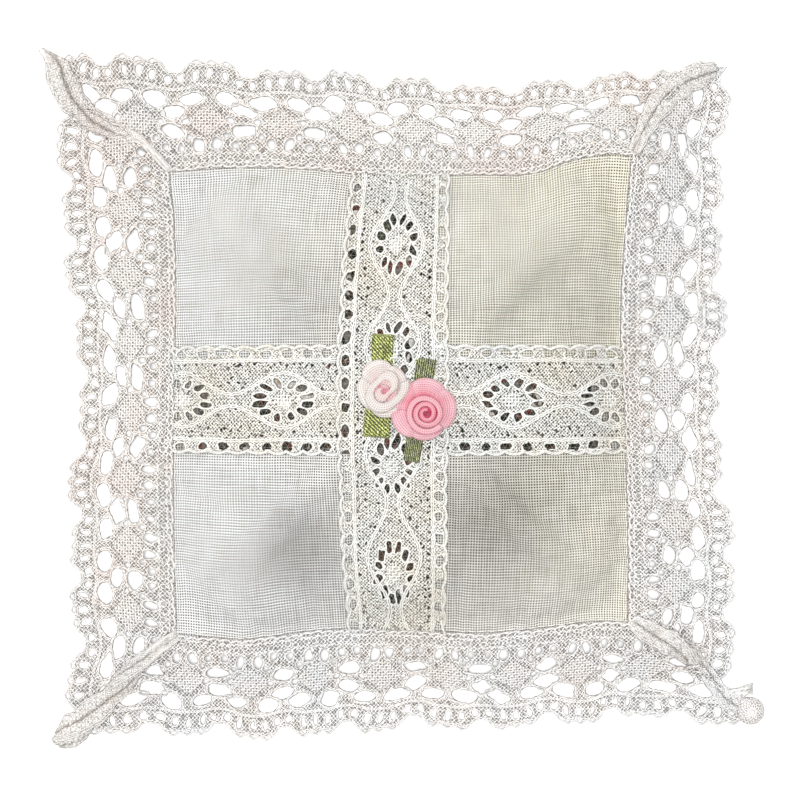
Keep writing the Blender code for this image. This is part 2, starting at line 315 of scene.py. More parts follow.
def shaped_cover(front, back):
    """The simulated folds, put on the pillow's crown and on its flat belly."""
    x, y = front[..., 0].copy(), front[..., 1].copy()
    crown = SEAM_Z + (CROWN_Z - SEAM_Z) * fall(x) * fall(y)
    folds = front[..., 2] - smoothed(front[..., 2], 60)
    folds *= 0.8 * ease((HALF - np.abs(x)) / 5) * ease((HALF - np.abs(y)) / 5)
    slow = 0.35 * drift(x, y, 4) * fall(x) * fall(y)
    front = np.stack([x, y, crown + folds + slow], -1)
    share = np.clip(1.6 * fall(x) * fall(y), 0, 1)
    belly = (SEAM_Z - 1.8) * (1 - share) + 0.25
    folds = back[..., 2] - smoothed(back[..., 2], 60)
    belly = belly + np.abs(folds) * 0.5 * (1 - share)
    return front, np.stack([x, y, belly], -1)


# How far the hand sewing pulls each seam, at places along it: on the top and
# bottom seams x and the rise, on the left and right seams y and the shift in x
SEAM_PULL = {
    "top": (
        (-54, -1.5), (-43, -0.5), (-28, -0.5), (-12, -2.0), (0, -2.5), (12, -2.4), (19, -2.0),
        (31, -2.5), (39, 0.9), (47, 2.9), (57, 2.0),
    ),
    "bottom": (
        (-54, 0.2), (-43, -1.2), (-35, -1.1), (-24, 0.7), (-12, 1.5), (7, 0.9), (19, 0.0),
        (35, 1.5), (47, 3.3), (55, 2.7),
    ),
    "left": ((-55, 2.1), (-39, 1.8), (-16, 1.5), (-4, 1.9), (12, 2.0), (28, 2.2), (43, 1.7), (53, 0.4)),
    "right": (
        (-51, -1.6), (-43, -1.5), (-28, -1.7), (-12, -2.2), (12, -3.3), (20, -3.4), (35, -2.6),
        (49, -1.3), (56, -0.5),
    ),
}


def seam_pull(side, way):
    """The pull at a distance along a seam, rounded between its places."""
    places, pulls = np.array(SEAM_PULL[side], float).T
    return sum(np.interp(way + step, places, pulls) for step in (-4, -1.5, 1.5, 4)) / 4


def pull_share(out):
    """How much of a seam's pull is felt: all at the seam, less to either side."""
    inner = np.clip(out / HALF, 0, 1) ** 2.5
    return inner * np.clip(1 - (out - HALF) / EDGING_DEPTH, 0, 1)


def pulled(x, y):
    """Where the hand sewing leaves a place of the cloth, seen from above."""
    share = np.clip(y / HALF, -1, 1)
    near = np.exp(-(((x - BAND_X) / 30) ** 2)) * np.clip(2 - np.abs(y / HALF), 0, 1)
    sway = np.where(y > 0, 2.2, 0.9) * share**2 - 0.7
    squeeze = 0.08 * share**2 * (x - BAND_X)
    aside = seam_pull("left", y) * pull_share(-x) + seam_pull("right", y) * pull_share(x)
    rise = seam_pull("top", x) * pull_share(y) + seam_pull("bottom", x) * pull_share(-y)
    return x + aside + near * (sway - squeeze), y + rise


class Cover:
    """The stuffed cover as a surface that other layers are laid on."""

    def __init__(self):
        self.front, self.back = stuffed_cover()
        self.normal = self.facing(self.front)

    @staticmethod
    def facing(grid):
        return unit(np.cross(np.gradient(grid, axis=0), np.gradient(grid, axis=1)))

    @staticmethod
    def sample(grid, x, y):
        """Values of a grid between its points."""
        n = COVER_CELLS
        u = np.clip((x / HALF + 1) / 2 * n, 0, n - 1e-6)
        v = np.clip((y / HALF + 1) / 2 * n, 0, n - 1e-6)
        i, j = u.astype(int), v.astype(int)
        a, b = (u - i)[..., None], (v - j)[..., None]
        low = grid[i, j] * (1 - a) + grid[i + 1, j] * a
        high = grid[i, j + 1] * (1 - a) + grid[i + 1, j + 1] * a
        return low * (1 - b) + high * b

    def lay(self, x, y, lift):
        """Points on the front at cloth places x and y, lifted by lift."""
        point = self.sample(self.front, x, y)
        normal = unit(self.sample(self.normal, x, y))
        point = point + normal * np.asarray(lift)[..., None]
        point[..., 0], point[..., 1] = pulled(point[..., 0], point[..., 1])
        return point

    def lay_back(self, x, y, lift):
        """Points on the back's outside, moved into the pillow by lift."""
        point = self.sample(self.back, x, y)
        point[..., 2] += np.asarray(lift)
        point[..., 0], point[..., 1] = pulled(point[..., 0], point[..., 1])
        return point


# Materials


def rgb(code):
    """A colour from an sRGB hex code, as the linear values that shaders use."""
    values = [int(code[i : i + 2], 16) / 255 for i in (1, 3, 5)]
    return [v / 12.92 if v <= 0.04045 else ((v + 0.055) / 1.055) ** 2.4 for v in values] + [1]


def add(tree, kind, settings=None, links=None):
    """Add one node, with its settings and what feeds its sockets."""
    node = tree.nodes.new(kind)
    for key, value in (settings or {}).items():
        if isinstance(key, int) or key in node.inputs:
            node.inputs[key].default_value = value
        else:
            setattr(node, key, value)
    for key, source in (links or {}).items():
        tree.links.new(source, node.inputs[key])
    return node


def blank(name, settings):
    """A material with its shader's own values set, its node tree and its shader."""
    made = bpy.data.materials.new(name)
    made.use_nodes = True
    tree = made.node_tree
    shader = tree.nodes["Principled BSDF"]
    for key, value in settings.items():
        shader.inputs[key].default_value = value
    return made, tree, shader


def ramp(tree, factor, stops):
    """A colour ramp through (place, hex colour) stops."""
    node = add(tree, "ShaderNodeValToRGB", links={"Fac": factor})
    elements = node.color_ramp.elements
    while len(elements) < len(stops):
        elements.new(0.5)
    for element, (place, code) in zip(elements, stops):
        element.position, element.color = place, rgb(code)
    return node.outputs["Color"]


def spot(tree, kind):
    """The place that is shaded, as its "UV" or its "Object" coordinates."""
    return add(tree, "ShaderNodeTexCoord").outputs[kind]


def marked(tree, name, output="Fac"):
    """What a piece's points are marked with under a name."""
    return add(tree, "ShaderNodeAttribute", {"attribute_name": name}).outputs[output]


def noise(tree, where, scale, detail):
    """Soft noise, from 0 to 1."""
    settings = {"Scale": scale, "Detail": detail}
    return add(tree, "ShaderNodeTexNoise", settings, {"Vector": where}).outputs["Fac"]


def maths(tree, operation, *terms):
    """An operation on terms that are either numbers or the outputs of nodes."""
    numbers = {place: term for place, term in enumerate(terms) if isinstance(term, float)}
    links = {place: term for place, term in enumerate(terms) if place not in numbers}
    return add(tree, "ShaderNodeMath", {"operation": operation, **numbers}, links).outputs[0]


def shaded(tree, colour, shade, amount=1.0):
    """A colour darkened by a shade that multiplies it."""
    settings = {"data_type": "RGBA", "blend_type": "MULTIPLY", "Factor": amount}
    return add(tree, "ShaderNodeMix", settings, {6: colour, 7: shade}).outputs[2]


def thread_waves(tree, where, way, pitch, wander, detail, detail_scale):
    """Threads a pitch apart that wander a little, as a height from 0 to 1."""
    settings = {
        "bands_direction": way,
        "Scale": math.pi / (10 * pitch),
        "Distortion": wander,
        "Detail": detail,
        "Detail Scale": detail_scale,
    }
    return add(tree, "ShaderNodeTexWave", settings, {"Vector": where}).outputs["Fac"]


def weave_height(tree, where, pitch, wander):
    """Plain weave: warp and weft threads a pitch apart, as a height from 0 to 1."""
    warp, weft = (thread_waves(tree, where, way, pitch, wander, 2.0, 0.35) for way in ("X", "Y"))
    over = maths(tree, "MAXIMUM", warp, weft)
    return maths(tree, "MULTIPLY_ADD", maths(tree, "ADD", warp, weft), 0.3, over)


def bumped(tree, shader, height, distance, strength=1.0):
    """Raise the surface by height times distance, which is in metres."""
    settings = {"Distance": distance, "Strength": strength}
    bump = add(tree, "ShaderNodeBump", settings, {"Height": height})
    tree.links.new(bump.outputs["Normal"], shader.inputs["Normal"])


def linen_finish(name, fresh_code, yellowed_code):
    """Fine off-white handkerchief linen: a plain weave of slubby threads. It is a
    little see-through, so it looks grey where the dark filling lies close under
    it, and it has yellowed more on one side than on the other."""
    sheen = {"Sheen Weight": 0.1, "Sheen Roughness": 0.5}
    made, tree, shader = blank(name, {"Roughness": 0.85, **sheen})
    uv = spot(tree, "UV")
    weave = weave_height(tree, uv, LINEN_PITCH, 1.4)
    slubs = []
    for stretch in ((0.13, 1.6, 1.0), (1.6, 0.13, 1.0)):
        drawn = add(tree, "ShaderNodeMapping", {"Scale": stretch}, {"Vector": uv}).outputs[0]
        slubs.append(noise(tree, drawn, 1.0, 2.0))
    slub = maths(tree, "ADD", *slubs)
    uneven = maths(tree, "MULTIPLY_ADD", slub, 0.16, weave)
    scaled = maths(tree, "MULTIPLY", uneven, 0.55)
    gaps = ramp(tree, scaled, [(0.2, "#1F1D1A"), (0.44, "#B4B2AC"), (0.7, "#FFFFFF")])
    thick = maths(tree, "MULTIPLY", slub, 0.5)
    streaks = ramp(tree, thick, [(0.34, "#E2E0DC"), (0.56, "#FFFFFF")])
    colour = ramp(tree, marked(tree, "yellowed"), [(0.0, fresh_code), (1.0, yellowed_code)])
    dulled = ramp(tree, marked(tree, "filling_near"), [(0.0, "#FFFFFF"), (1.0, "#C9C8C6")])
    for shade in (dulled, streaks, gaps):
        colour = shaded(tree, colour, shade)
    tree.links.new(colour, shader.inputs["Base Color"])
    bumped(tree, shader, weave, 0.00015)
    return made


def cotton_finish(name, light, warm, cool, painted_shade_code):
    """Soft two-ply mercerised cotton: matt off-white with a faint fuzz, with painted shade that greys
    the sides of each thread and the places where the threads pass under each other, and a little warmer
    or cooler from place to place where it was washed and handled."""
    sheen = {"Sheen Weight": 0.15, "Sheen Roughness": 0.6}
    made, tree, shader = blank(name, {"Roughness": 0.8, **sheen})
    place = spot(tree, "Object")
    tint = noise(tree, place, 60.0, 3.0)
    colour = ramp(tree, tint, [(0.36, cool), (0.5, light), (0.66, warm)])
    stands = marked(tree, "painted_light")
    # Painted shade: the painted light mark picks between the shade colour and white.
    painted_shade = ramp(tree, stands, [(0.08, painted_shade_code), (0.36, "#DDD9D4"), (0.62, "#FFFFFF")])
    tree.links.new(shaded(tree, colour, painted_shade), shader.inputs["Base Color"])
    bumped(tree, shader, noise(tree, place, 4200.0, 2.0), 0.00008, 0.6)
    return made


def satin_finish(name, stops, highlight_code):
    """Polyester satin ribbon: a close weave with a soft gleam, coloured from the rose's heart outwards,
    with painted shade in the creases and dips of its folds and a painted highlight along its rolled
    edge."""
    sheen = {"Sheen Weight": 0.35, "Sheen Roughness": 0.35}
    made, tree, shader = blank(name, {"Roughness": 0.42, "Specular IOR Level": 0.5, **sheen})
    streak = noise(tree, spot(tree, "Object"), 350.0, 2.0)
    body = ramp(tree, maths(tree, "MULTIPLY_ADD", streak, 0.16, marked(tree, "outward")), stops)
    # Painted highlight: paler colour where the rim mark lies, along crests and rolled edges.
    painted_highlight = {"data_type": "RGBA", 7: rgb(highlight_code)}
    edge = add(tree, "ShaderNodeMix", painted_highlight, {0: marked(tree, "rim"), 6: body}).outputs[2]
    ribs = weave_height(tree, spot(tree, "UV"), 0.5, 0.8)
    shade = ramp(tree, ribs, [(0.2, "#D3B5B8"), (0.8, "#FFFFFF")])
    tree.links.new(shaded(tree, edge, shade, 0.8), shader.inputs["Base Color"])
    bumped(tree, shader, ribs, 0.00012, 0.8)
    return made


def leaf_finish(name, dark, middle, light, bands):
    """Narrow two-tone woven ribbon: bright warp threads over a dark weft, which
    reads as slanting or lengthwise strokes of light and dark greens."""
    gleam = {"Roughness": 0.4, "Sheen Weight": 0.2, "Specular IOR Level": 0.6}
    made, tree, shader = blank(name, gleam)
    uv = spot(tree, "UV")
    strokes = thread_waves(tree, uv, bands, 0.46, 5.0, 4.0, 3.2)
    speckle = maths(tree, "MULTIPLY", strokes, noise(tree, uv, 1.9, 4.0))
    colour = ramp(tree, speckle, [(0.08, dark), (0.26, middle), (0.5, light)])
    tree.links.new(colour, shader.inputs["Base Color"])
    bumped(tree, shader, strokes, 0.0002)
    return made


def petal_finish():
    """Dried petals and leaves: papery and matt, each its own faded colour, with
    darker flecks."""
    made, tree, shader = blank("dried_petals", {"Roughness": 0.85, "Specular IOR Level": 0.25})
    flecks = noise(tree, spot(tree, "Object"), 900.0, 4.0)
    shade = ramp(tree, flecks, [(0.3, "#8C8C8C"), (0.6, "#FFFFFF")])
    colour = shaded(tree, marked(tree, "tint", "Color"), shade, 0.8)
    tree.links.new(colour, shader.inputs["Base Color"])
    bumped(tree, shader, flecks, 0.0003)
    return made


def floor_finish():
    """White translucent table lit faintly from below: flat, matt and nearly pure
    white, so the lace's holes stay clean."""
    made, tree, shader = blank("white_table", {"Roughness": 0.9, "Emission Strength": 0.17})
    shader.inputs["Emission Color"].default_value = rgb("#FFFFFF")
    fibre = noise(tree, spot(tree, "Object"), 30.0, 2.0)
    colour = ramp(tree, fibre, [(0.3, "#FBFBFA"), (0.7, "#FEFEFE")])
    tree.links.new(colour, shader.inputs["Base Color"])
    return made


# Lace: a net of threads on the slant, pushed apart into holes


class Hole:
    """One hole of the lace: its middle, its half lengths, its turn and its shape."""

    def __init__(self, s, v, along, across, turn=0.0, reach=1.4, share=0.7, rim=True):
        rng = np.random.default_rng(int(abs(s * 131 + v * 977)) + 1)
        self.middle = np.array((s, v)) + rng.normal(0, 0.16, 2)
        self.size = np.array((along, across)) * rng.uniform(0.84, 1.16, 2)
        turn += rng.normal(0, 0.16)
        c, n = math.cos(turn), math.sin(turn)
        self.frame = np.array(((c, n), (-n, c)))
        self.reach, self.share, self.rim = reach, share, rim
        self.lobes = rng.normal(0, 0.06, 3)
        self.phases = rng.uniform(0, 6.28, 3)

    def outline(self, angle):
        """How far out the rim is at an angle, where an ellipse's is 1."""
        waves = [
            lobe * np.cos((k + 2) * angle + phase)
            for k, (lobe, phase) in enumerate(zip(self.lobes, self.phases))
        ]
        return 1 + sum(waves)

    def measure(self, points):
        """Each point as seen from the hole, where the rim is at distance 1."""
        local = ((points - self.middle) @ self.frame.T) / self.size
        angle = np.arctan2(local[:, 1], local[:, 0])
        return local, np.linalg.norm(local, axis=1) / self.outline(angle)

    def push(self, points):
        """Move threads outwards, so the hole opens and its rim grows dense."""
        near = np.abs(points - self.middle).max(axis=1) < self.reach * self.size.max() * 1.2
        local, far = self.measure(points[near])
        inside = far < self.reach
        grown = self.share + far * (1 - self.share / self.reach)
        scale = np.where(inside, grown / np.maximum(far, 1e-4), 1.0)
        moved = points.copy()
        moved[near] = self.middle + (local * scale[:, None] * self.size) @ self.frame
        return moved

    def covers(self, points, far=0.97):
        return self.measure(points)[1] < far

    def rim_line(self, far=1.06):
        """The closed line of the thread around the hole, its ends lapped."""
        count = max(10, int(self.size.sum() * 6))
        a = np.arange(count + 2) / count * 2 * math.pi
        wave = far + 0.05 * np.cos(a * round(self.size.sum() * 3.2))
        ring = np.stack([np.cos(a), np.sin(a)], 1) * (wave * self.outline(a))[:, None] * self.size
        return self.middle + ring @ self.frame


def net_threads(box, pitch, holes, inside, seed, slack):
    """Two families of slanting threads, as lines of (s, v, z, shade) points. In lace
    coordinates s runs along the lace, v across it and z up.

    Each thread goes over and under those it crosses, is pushed aside by the
    holes, and stops where a hole or the lace's edge cuts it."""
    low, high = np.array(box[0]), np.array(box[1])
    middle, reach = (low + high) / 2, np.linalg.norm(high - low) / 2
    count = int(reach / pitch) + 1
    step = pitch / 2
    way = np.arange(-count * 2, count * 2 + 1) * step
    families = []
    for family in (0, 1):
        angle = math.radians(45 if family == 0 else -45)
        ahead = np.array((math.cos(angle), math.sin(angle)))
        aside = np.array((-ahead[1], ahead[0]))
        lines = []
        for number in range(-count, count + 1):
            line = middle + aside * number * pitch + ahead * way[:, None]
            keep = (line > low - 2).all(axis=1) & (line < high + 2).all(axis=1)
            if keep.sum() < 3:
                continue
            over = np.cos(math.pi * (way[keep] / pitch + number + family))
            # Painted shade: a thread's painted light is lower where it dips under another.
            lines.append(np.column_stack([line[keep], over * THREAD * 0.7, 0.62 + 0.38 * over]))
        families.append(cut_threads(lines, holes, inside, seed + family, slack))
    return families


def stretches(line, keep, fewest):
    """The stretches of a line where its points are kept, if they are long enough."""
    breaks = np.flatnonzero(np.diff(keep.astype(int))) + 1
    parts = zip(np.split(line, breaks), np.split(keep, breaks))
    return [part for part, use in parts if use[0] and len(part) > fewest]


def cut_threads(lines, holes, inside, seed, slack):
    """Push the lines aside by the holes and cut them at holes and edges."""
    counts = [len(line) for line in lines]
    points = np.concatenate(lines)
    flat = points[:, :2]
    s, v = flat[:, 0], flat[:, 1]
    flat = flat + slack * np.stack([drift(s * 6, v * 6, seed), drift(s * 6, v * 6, seed + 9)], 1)
    points[:, 3] *= 0.82 + 0.5 * drift(s * 13, v * 13, seed + 5)
    for hole in holes:
        flat = hole.push(flat)
    kept = inside(flat[:, 0], flat[:, 1])
    for hole in holes:
        near = np.abs(flat - hole.middle).max(axis=1) < hole.size.max() * 1.1
        kept[near] &= ~hole.covers(flat[near])
    points = np.column_stack([flat, points[:, 2:]])
    pieces, start = [], 0
    for count in counts:
        pieces += stretches(points[start : start + count], kept[start : start + count], 3)
        start += count
    return pieces


def woven_patch(s, v, half_s, half_v, pitch=0.85):
    """A lozenge of close cloth stitch laid square over the slanting net."""
    lines = []
    for across in (False, True):
        reach_k, reach_t = (half_v, half_s) if across else (half_s, half_v)
        for k in np.arange(-reach_k + pitch / 2, reach_k, pitch):
            reach = reach_t * (1 - abs(k) / reach_k)
            if reach > 0.8:
                t = np.arange(-reach, reach + 0.01, pitch / 2)
                over = np.cos(math.pi * (t / pitch + k / pitch + across))
                place = (s + t, np.full_like(t, v + k)) if across else (np.full_like(t, s + k), v + t)
                z = THREAD * (1.0 + 0.6 * over)
                # Painted shade: a thread's painted light is lower where it dips under another.
                lines.append(np.stack([*place, z, 0.72 + 0.28 * over], 1))
    return lines


def rim_cords(holes, inside):
    """The threads that go round the larger holes."""
    lines = []
    for hole in holes:
        if hole.rim:
            ring = hole.rim_line()
            if inside(ring[:, 0], ring[:, 1]).all():
                height = 0.05 + 0.12 * np.sin(np.arange(len(ring)) * 1.9)
                lines.append(twisted(np.column_stack([ring, height]), 0.8, 0.45))
    return lines


def lace_length(name, node, net, cords, cord_radius, finish):
    """A length of lace: its warp, and then its weft and its cords."""
    warp, weft = net
    main = thread_piece(f"{name}_warp", warp, THREAD, finish)
    across = thread_piece(f"{name}_weft", weft, THREAD, finish)
    outline = thread_piece(f"{name}_cords", cords, cord_radius, finish)
    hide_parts(node)
    return main, [across, outline]


# Insertion lace


def ring_holes(s):
    """Twelve petal holes around a woven diamond pricked with small ones."""
    holes = []
    for k in range(12):
        a = math.radians(15 + 30 * k)
        along, across = 6.0 * math.cos(a), 3.9 * math.sin(a)
        end = abs(math.cos(a))
        turn = math.atan2(0.35 * across, along)
        size = 1.1 + 0.62 * end, 1.0 - 0.2 * end
        holes.append(Hole(s + along, across, *size, turn, 1.3, 0.75))
    for along in (-2.6, -1.3, 0, 1.3, 2.6):
        spread = 1 if abs(along) > 2 else 2
        for side in range(-spread, spread + 1):
            across = 0.8 * side + (0.4 if round(along / 1.3) % 2 else 0)
            holes.append(Hole(s + along, across, 0.3, 0.24, 0.5 * side, 1.3, 0.8, False))
    return holes


def pinholes(start, end, ring_places):
    """Columns of small slanting holes between the rings and the ladders."""
    rng = np.random.default_rng(int(start * 7) % 97)
    edge = BAND_HALF - 1.9
    holes = []
    for side in (-1, 1):
        for row, pitch, keep in (
            (1.7, 2.8, 0.6), (2.6, 1.6, 0.95), (3.5, 1.9, 0.5), (4.4, 2.0, 0.6), (5.4, 2.4, 0.5),
            (6.6, 2.6, 0.4), (8.2, 2.8, 0.4),
        ):
            for s in np.arange(start + rng.uniform(0.3, 1.2), end, pitch):
                near = min(abs(s - place) for place in ring_places)
                if rng.random() < keep and near > min(row, 6.6) * 2.6 - 8:
                    size = rng.uniform(0.26, 0.62), rng.uniform(0.18, 0.34)
                    tilt = side * rng.uniform(-0.2, 1.0)
                    across = side * (edge - row)
                    holes.append(Hole(s, across, *size, tilt, 1.3, 0.8, False))
    return holes


def insertion_holes(start, end, ring_places, ladder_start):
    """Holes of a length of insertion lace, from start to end along it."""
    holes = []
    for place in ring_places:
        holes += ring_holes(place)
    for side in (-1, 1):
        for s in np.arange(start + ladder_start, end, 5.2):
            holes.append(Hole(s, side * (BAND_HALF - 1.9), 1.4, 1.05, 0.1, 1.3, 0.75))
    for left, right in zip(ring_places, ring_places[1:]):
        middle = (left + right) / 2
        for k in (-1.5, -0.5, 0.5, 1.5):
            for side in (-1, 1):
                across = side * (1.1 + 1.5 * abs(k))
                size = 0.55, 0.2
                holes.append(Hole(middle + 2.1 * k, across, *size, side * k, 1.3, 0.8, False))
    return holes + pinholes(start, end, ring_places)


def footside(s, across, height, amount, period):
    """A gimp that winds from side to side, as three strands laid together."""
    lines = []
    for k in range(3):
        turn = 2 * math.pi * (s / period + k / 3)
        line = np.stack([s, across + amount * np.sin(turn), height + amount * np.cos(turn)], 1)
        lines.append(twisted(line, 1.3))
    return lines


def foot_loops(s, side):
    """How far the looped footside of an insertion bows out, from 0 to 1."""
    return np.abs(np.sin(math.pi * (s + 1.5 * side) / 4.7)) ** 0.6


def insertion_cords(start, end):
    """Footside cords of an insertion: straight inner ones and a looped outer one."""
    s = np.arange(start, end + 0.01, 0.35)
    lines = []
    for side in (-1, 1):
        bow = foot_loops(s, side)
        lines += footside(s, side * (BAND_HALF - 1.15 + 0.85 * bow), 0.3 + 0.3 * bow, 0.24, 2.1)
        lines += footside(s, side * (BAND_HALF - 0.75 + 0.2 * bow), 0.15, 0.2, 1.6)[:2]
        for inset in (3.3, 3.75):
            jitter = 0.1 * np.sin(s * 3.6 + inset)
            line = np.stack([s, side * (BAND_HALF - inset) + jitter, 0.22 + 0 * s], 1)
            lines.append(twisted(line))
    return lines


def diamond_cords(ring_places):
    """The raised cords that sweep in waves past the rings."""
    first, last = min(ring_places) - 16, max(ring_places) + 16
    s = np.arange(first, last, 0.35)
    phase = 2 * math.pi * (s - ring_places[0]) / 24.7
    lines = []
    for spread in (0.0, 0.5):
        for side in (-1, 1):
            across = side * (3.5 + spread + 2.4 * np.cos(phase)) + 0.1 * np.sin(s * 4)
            line = np.stack([s, across, 0.22 + 0.1 * np.cos(s * 4)], 1)
            lines.append(twisted(line))
    return lines


def insertion(name, start, end, ring_places, ladder_start, to_xy, lift, cover, finish):
    """One length of insertion lace, laid on the cover."""

    def inside(s, v):
        reach = BAND_HALF - 1.2 + 0.8 * foot_loops(s, np.sign(v))
        return (np.abs(v) < reach) & (s > start) & (s < end)

    def laid(line):
        x, y = to_xy(line[:, 0], line[:, 1])
        return np.column_stack([cover.lay(x, y, lift(x, y) + line[:, 2]), line[:, 3]])

    def within(line):
        return line[(line[:, 0] > start) & (line[:, 0] < end)]

    holes = insertion_holes(start, end, ring_places, ladder_start)
    box = ((start, -BAND_HALF), (end, BAND_HALF))
    families = net_threads(box, INSERTION_PITCH, holes, inside, 11, 0.22)
    cords = insertion_cords(start, end) + rim_cords(holes, inside)
    cords += [within(line) for line in diamond_cords(ring_places)]
    for place in ring_places:
        cords += [within(line) for line in woven_patch(place, 0, 3.4, 2.3, 0.75)]
    net = [[laid(line) for line in family] for family in families]
    lines = [laid(line) for line in cords if len(line) > 2]
    node = f"insertion_lace_{name}"
    main, others = lace_length(f"insertion_{name}", node, net, lines, CORD, finish)


# Edging lace

SIDES = {
    "top": ("top_left", "top_right"),
    "right": ("top_right", "bottom_right"),
    "bottom": ("bottom_right", "bottom_left"),
    "left": ("bottom_left", "top_left"),
}
SIGNS = {
    "top_left": (-1, 1),
    "top_right": (1, 1),
    "bottom_right": (1, -1),
    "bottom_left": (-1, -1),
}
# Where each corner's rolled seam lies on the table, from the pillow to its tip
ROLL_PATHS = {
    "top_left": (
        (-54.5, 55.0), (-61.0, 61.5), (-67.0, 64.2), (-73.0, 67.0), (-77.8, 71.5),
        (-79.8, 75.2), (-81.0, 78.4), (-82.6, 80.6), (-85.4, 83.2),
    ),
    "top_right": (
        (55.2, 55.5), (57.4, 61.0), (59.8, 66.2), (63.0, 71.0), (67.0, 74.8), (71.2, 77.0),
        (74.6, 78.0),
    ),
    "bottom_right": (
        (55.5, -54.8), (60.0, -57.2), (64.3, -58.8), (67.8, -61.0), (70.8, -64.0),
        (73.4, -67.4), (76.0, -70.4), (79.0, -72.2), (82.0, -72.8),
    ),
    "bottom_left": (
        (-54.5, -54.6), (-58.4, -58.0), (-62.0, -61.6), (-66.5, -66.2), (-71.2, -71.8),
        (-75.6, -76.6), (-78.6, -79.0), (-81.3, -80.6),
    ),
}
# Where a scallop's top falls on each side, counted from the side's middle
FIRST_SCALLOP = {"top": 2.2, "right": -2.6, "bottom": 4.7, "left": -2.4}
# How far the edge is drawn in (-) or splayed out (+) at five places along a side
EDGING_PULL = {
    "top": (2.6, 0.8, -3.4, -3.6, -0.5),
    "right": (-2.0, -2.6, -3.2, -0.6, 0.2),
    "bottom": (-2.6, -3.0, -0.6, 0.4, 0.4),
    "left": (-0.6, -0.6, -2.4, 0.0, 4.8),
}


class Side:
    """One side of the edging: along it, out from the seam, and its two mitres."""

    def __init__(self, side):
        first, second = SIDES[side]
        self.start = HALF * np.array(SIGNS[first], float)
        self.end = HALF * np.array(SIGNS[second], float)
        self.along = (self.end - self.start) / np.linalg.norm(self.end - self.start)
        self.out = np.array((-self.along[1], self.along[0]))
        self.middle = (self.start + self.end) / 2
        self.low, self.high = self.mitre(first), self.mitre(second)
        self.shift = FIRST_SCALLOP[side]
        self.pull = EDGING_PULL[side]

    def mitre(self, corner):
        """A corner seam's line as distances out from this side and along it."""
        path = np.array(ROLL_PATHS[corner]) - self.middle
        out = np.maximum.accumulate(path @ self.out)
        return out + np.arange(len(out)) * 1e-6, path @ self.along

    def reach(self, v):
        """The lace's ends at a distance out, counted from the side's middle."""
        return np.interp(v, *self.low), np.interp(v, *self.high)

    def from_scallop(self, s):
        """Distance along the lace to the middle of the nearest scallop."""
        k = (s - self.shift) / SCALLOP
        return np.abs(k - np.round(k)) * SCALLOP

    def scallops(self):
        """The middles of all the scallops, some of them beyond the mitres."""
        return [self.shift + k * SCALLOP for k in range(-6, 7)]

    def edge(self, s):
        """Distance from the seam to the scalloped edge."""
        top = ease((7.0 - self.from_scallop(s)) / 2.6)
        bumps = 0.5 * np.abs(np.cos(math.pi * (s - self.shift) / 3.3)) * top
        return 21.4 + 1.7 * top + bumps

    def inside(self, s, v):
        low, high = self.reach(v)
        return (v > -0.4) & (v < self.edge(s) - 0.1) & (s > low) & (s < high)

    def place(self, s, v):
        """Lace coordinates to the plane of the table."""
        stations = np.linspace(-80, 80, 5)
        share = np.clip(v / EDGING_DEPTH, 0, 1)
        drawn = np.interp(s, stations, self.pull) * share**1.4
        wobble = 0.7 * share * np.sin(s / 9.3 + self.shift) + 0.5 * share * np.sin(s / 4.1)
        sway = 0.8 * share * np.sin(s / 11.0 + v / 9 + self.shift)
        out = v + drawn + wobble
        return self.middle + (s + sway)[:, None] * self.along + out[:, None] * self.out

    def lay(self, line):
        """Lay (s, v, z, shade) points: down from the seam and along the table."""
        s, v, z, shade = line.T
        flat = self.place(s, v)
        x, y = pulled(flat[:, 0], flat[:, 1])
        head, foot = SEAM_Z + 0.15, 0.6
        share = v / EDGING_DEPTH
        height = foot + (head - foot) * (1 - ease(share * 1.25))
        low, high = self.reach(v)
        near = np.minimum(s - low, high - s)
        pleats = np.exp(-np.maximum(near, 0) / 9) * np.sin(near / 1.5 + v / 6) * 0.8
        ruffle = 0.8 * share**2 * (1 + np.sin(2 * math.pi * s / 31 + self.shift))
        swell = 0.4 * (1 + drift(flat[:, 0], flat[:, 1], 21)) * ease(share)
        height = height + ruffle + swell + pleats * np.sin(math.pi * np.clip(share, 0, 1))
        return np.stack([x, y, np.maximum(height + z, 0.25), shade], 1)


# The larger holes in one repeat of the edging: how far along from a scallop's
# middle, how far out from the seam, half length, half width and turn
EDGING_REPEAT = (
    (-5.9, 4.9, 0.95, 1.05, 0.1),
    (-1.75, 5.4, 1.2, 1.6, 0.15),
    (2.1, 5.4, 1.15, 1.65, -0.15),
    (6.4, 4.9, 0.95, 1.05, -0.1),
    (-4.1, 7.3, 0.8, 0.85, 0.0),
    (4.2, 7.3, 0.8, 0.85, 0.0),
    (8.0, 8.7, 2.65, 1.45, 0.0),
    (-5.0, 10.9, 1.0, 0.7, 0.3),
    (5.0, 10.9, 1.0, 0.7, -0.3),
    (8.0, 13.1, 2.6, 1.6, 0.0),
    (-3.9, 15.7, 2.65, 1.6, 0.16),
    (3.9, 15.7, 2.65, 1.6, -0.16),
    (-3.25, 20.8, 0.8, 1.25, 0.1),
    (0.0, 21.0, 0.8, 1.3, 0.0),
    (3.25, 20.8, 0.8, 1.25, -0.1),
    (6.4, 19.8, 0.95, 0.95, 0.0),
    (9.6, 19.8, 0.95, 0.95, 0.0),
)


def edging_holes(side):
    """All the holes of one side, repeat by repeat."""
    rng = np.random.default_rng(int(side.shift * 10) % 89)
    holes = []
    for s in side.scallops():
        for along, out, half_s, half_v, turn in EDGING_REPEAT:
            grown = 1.08 if half_s * half_v > 2 else 1.0
            holes.append(Hole(s + along, out, half_s * grown, half_v * grown, turn, 1.35, 0.72))
        for j in range(8):
            if rng.random() < 0.8:
                size = rng.uniform(0.4, 0.65), rng.uniform(0.35, 0.65)
                holes.append(Hole(s + 1 + 2 * j, 2.1, *size, 0, 1.3, 0.8))
    return holes


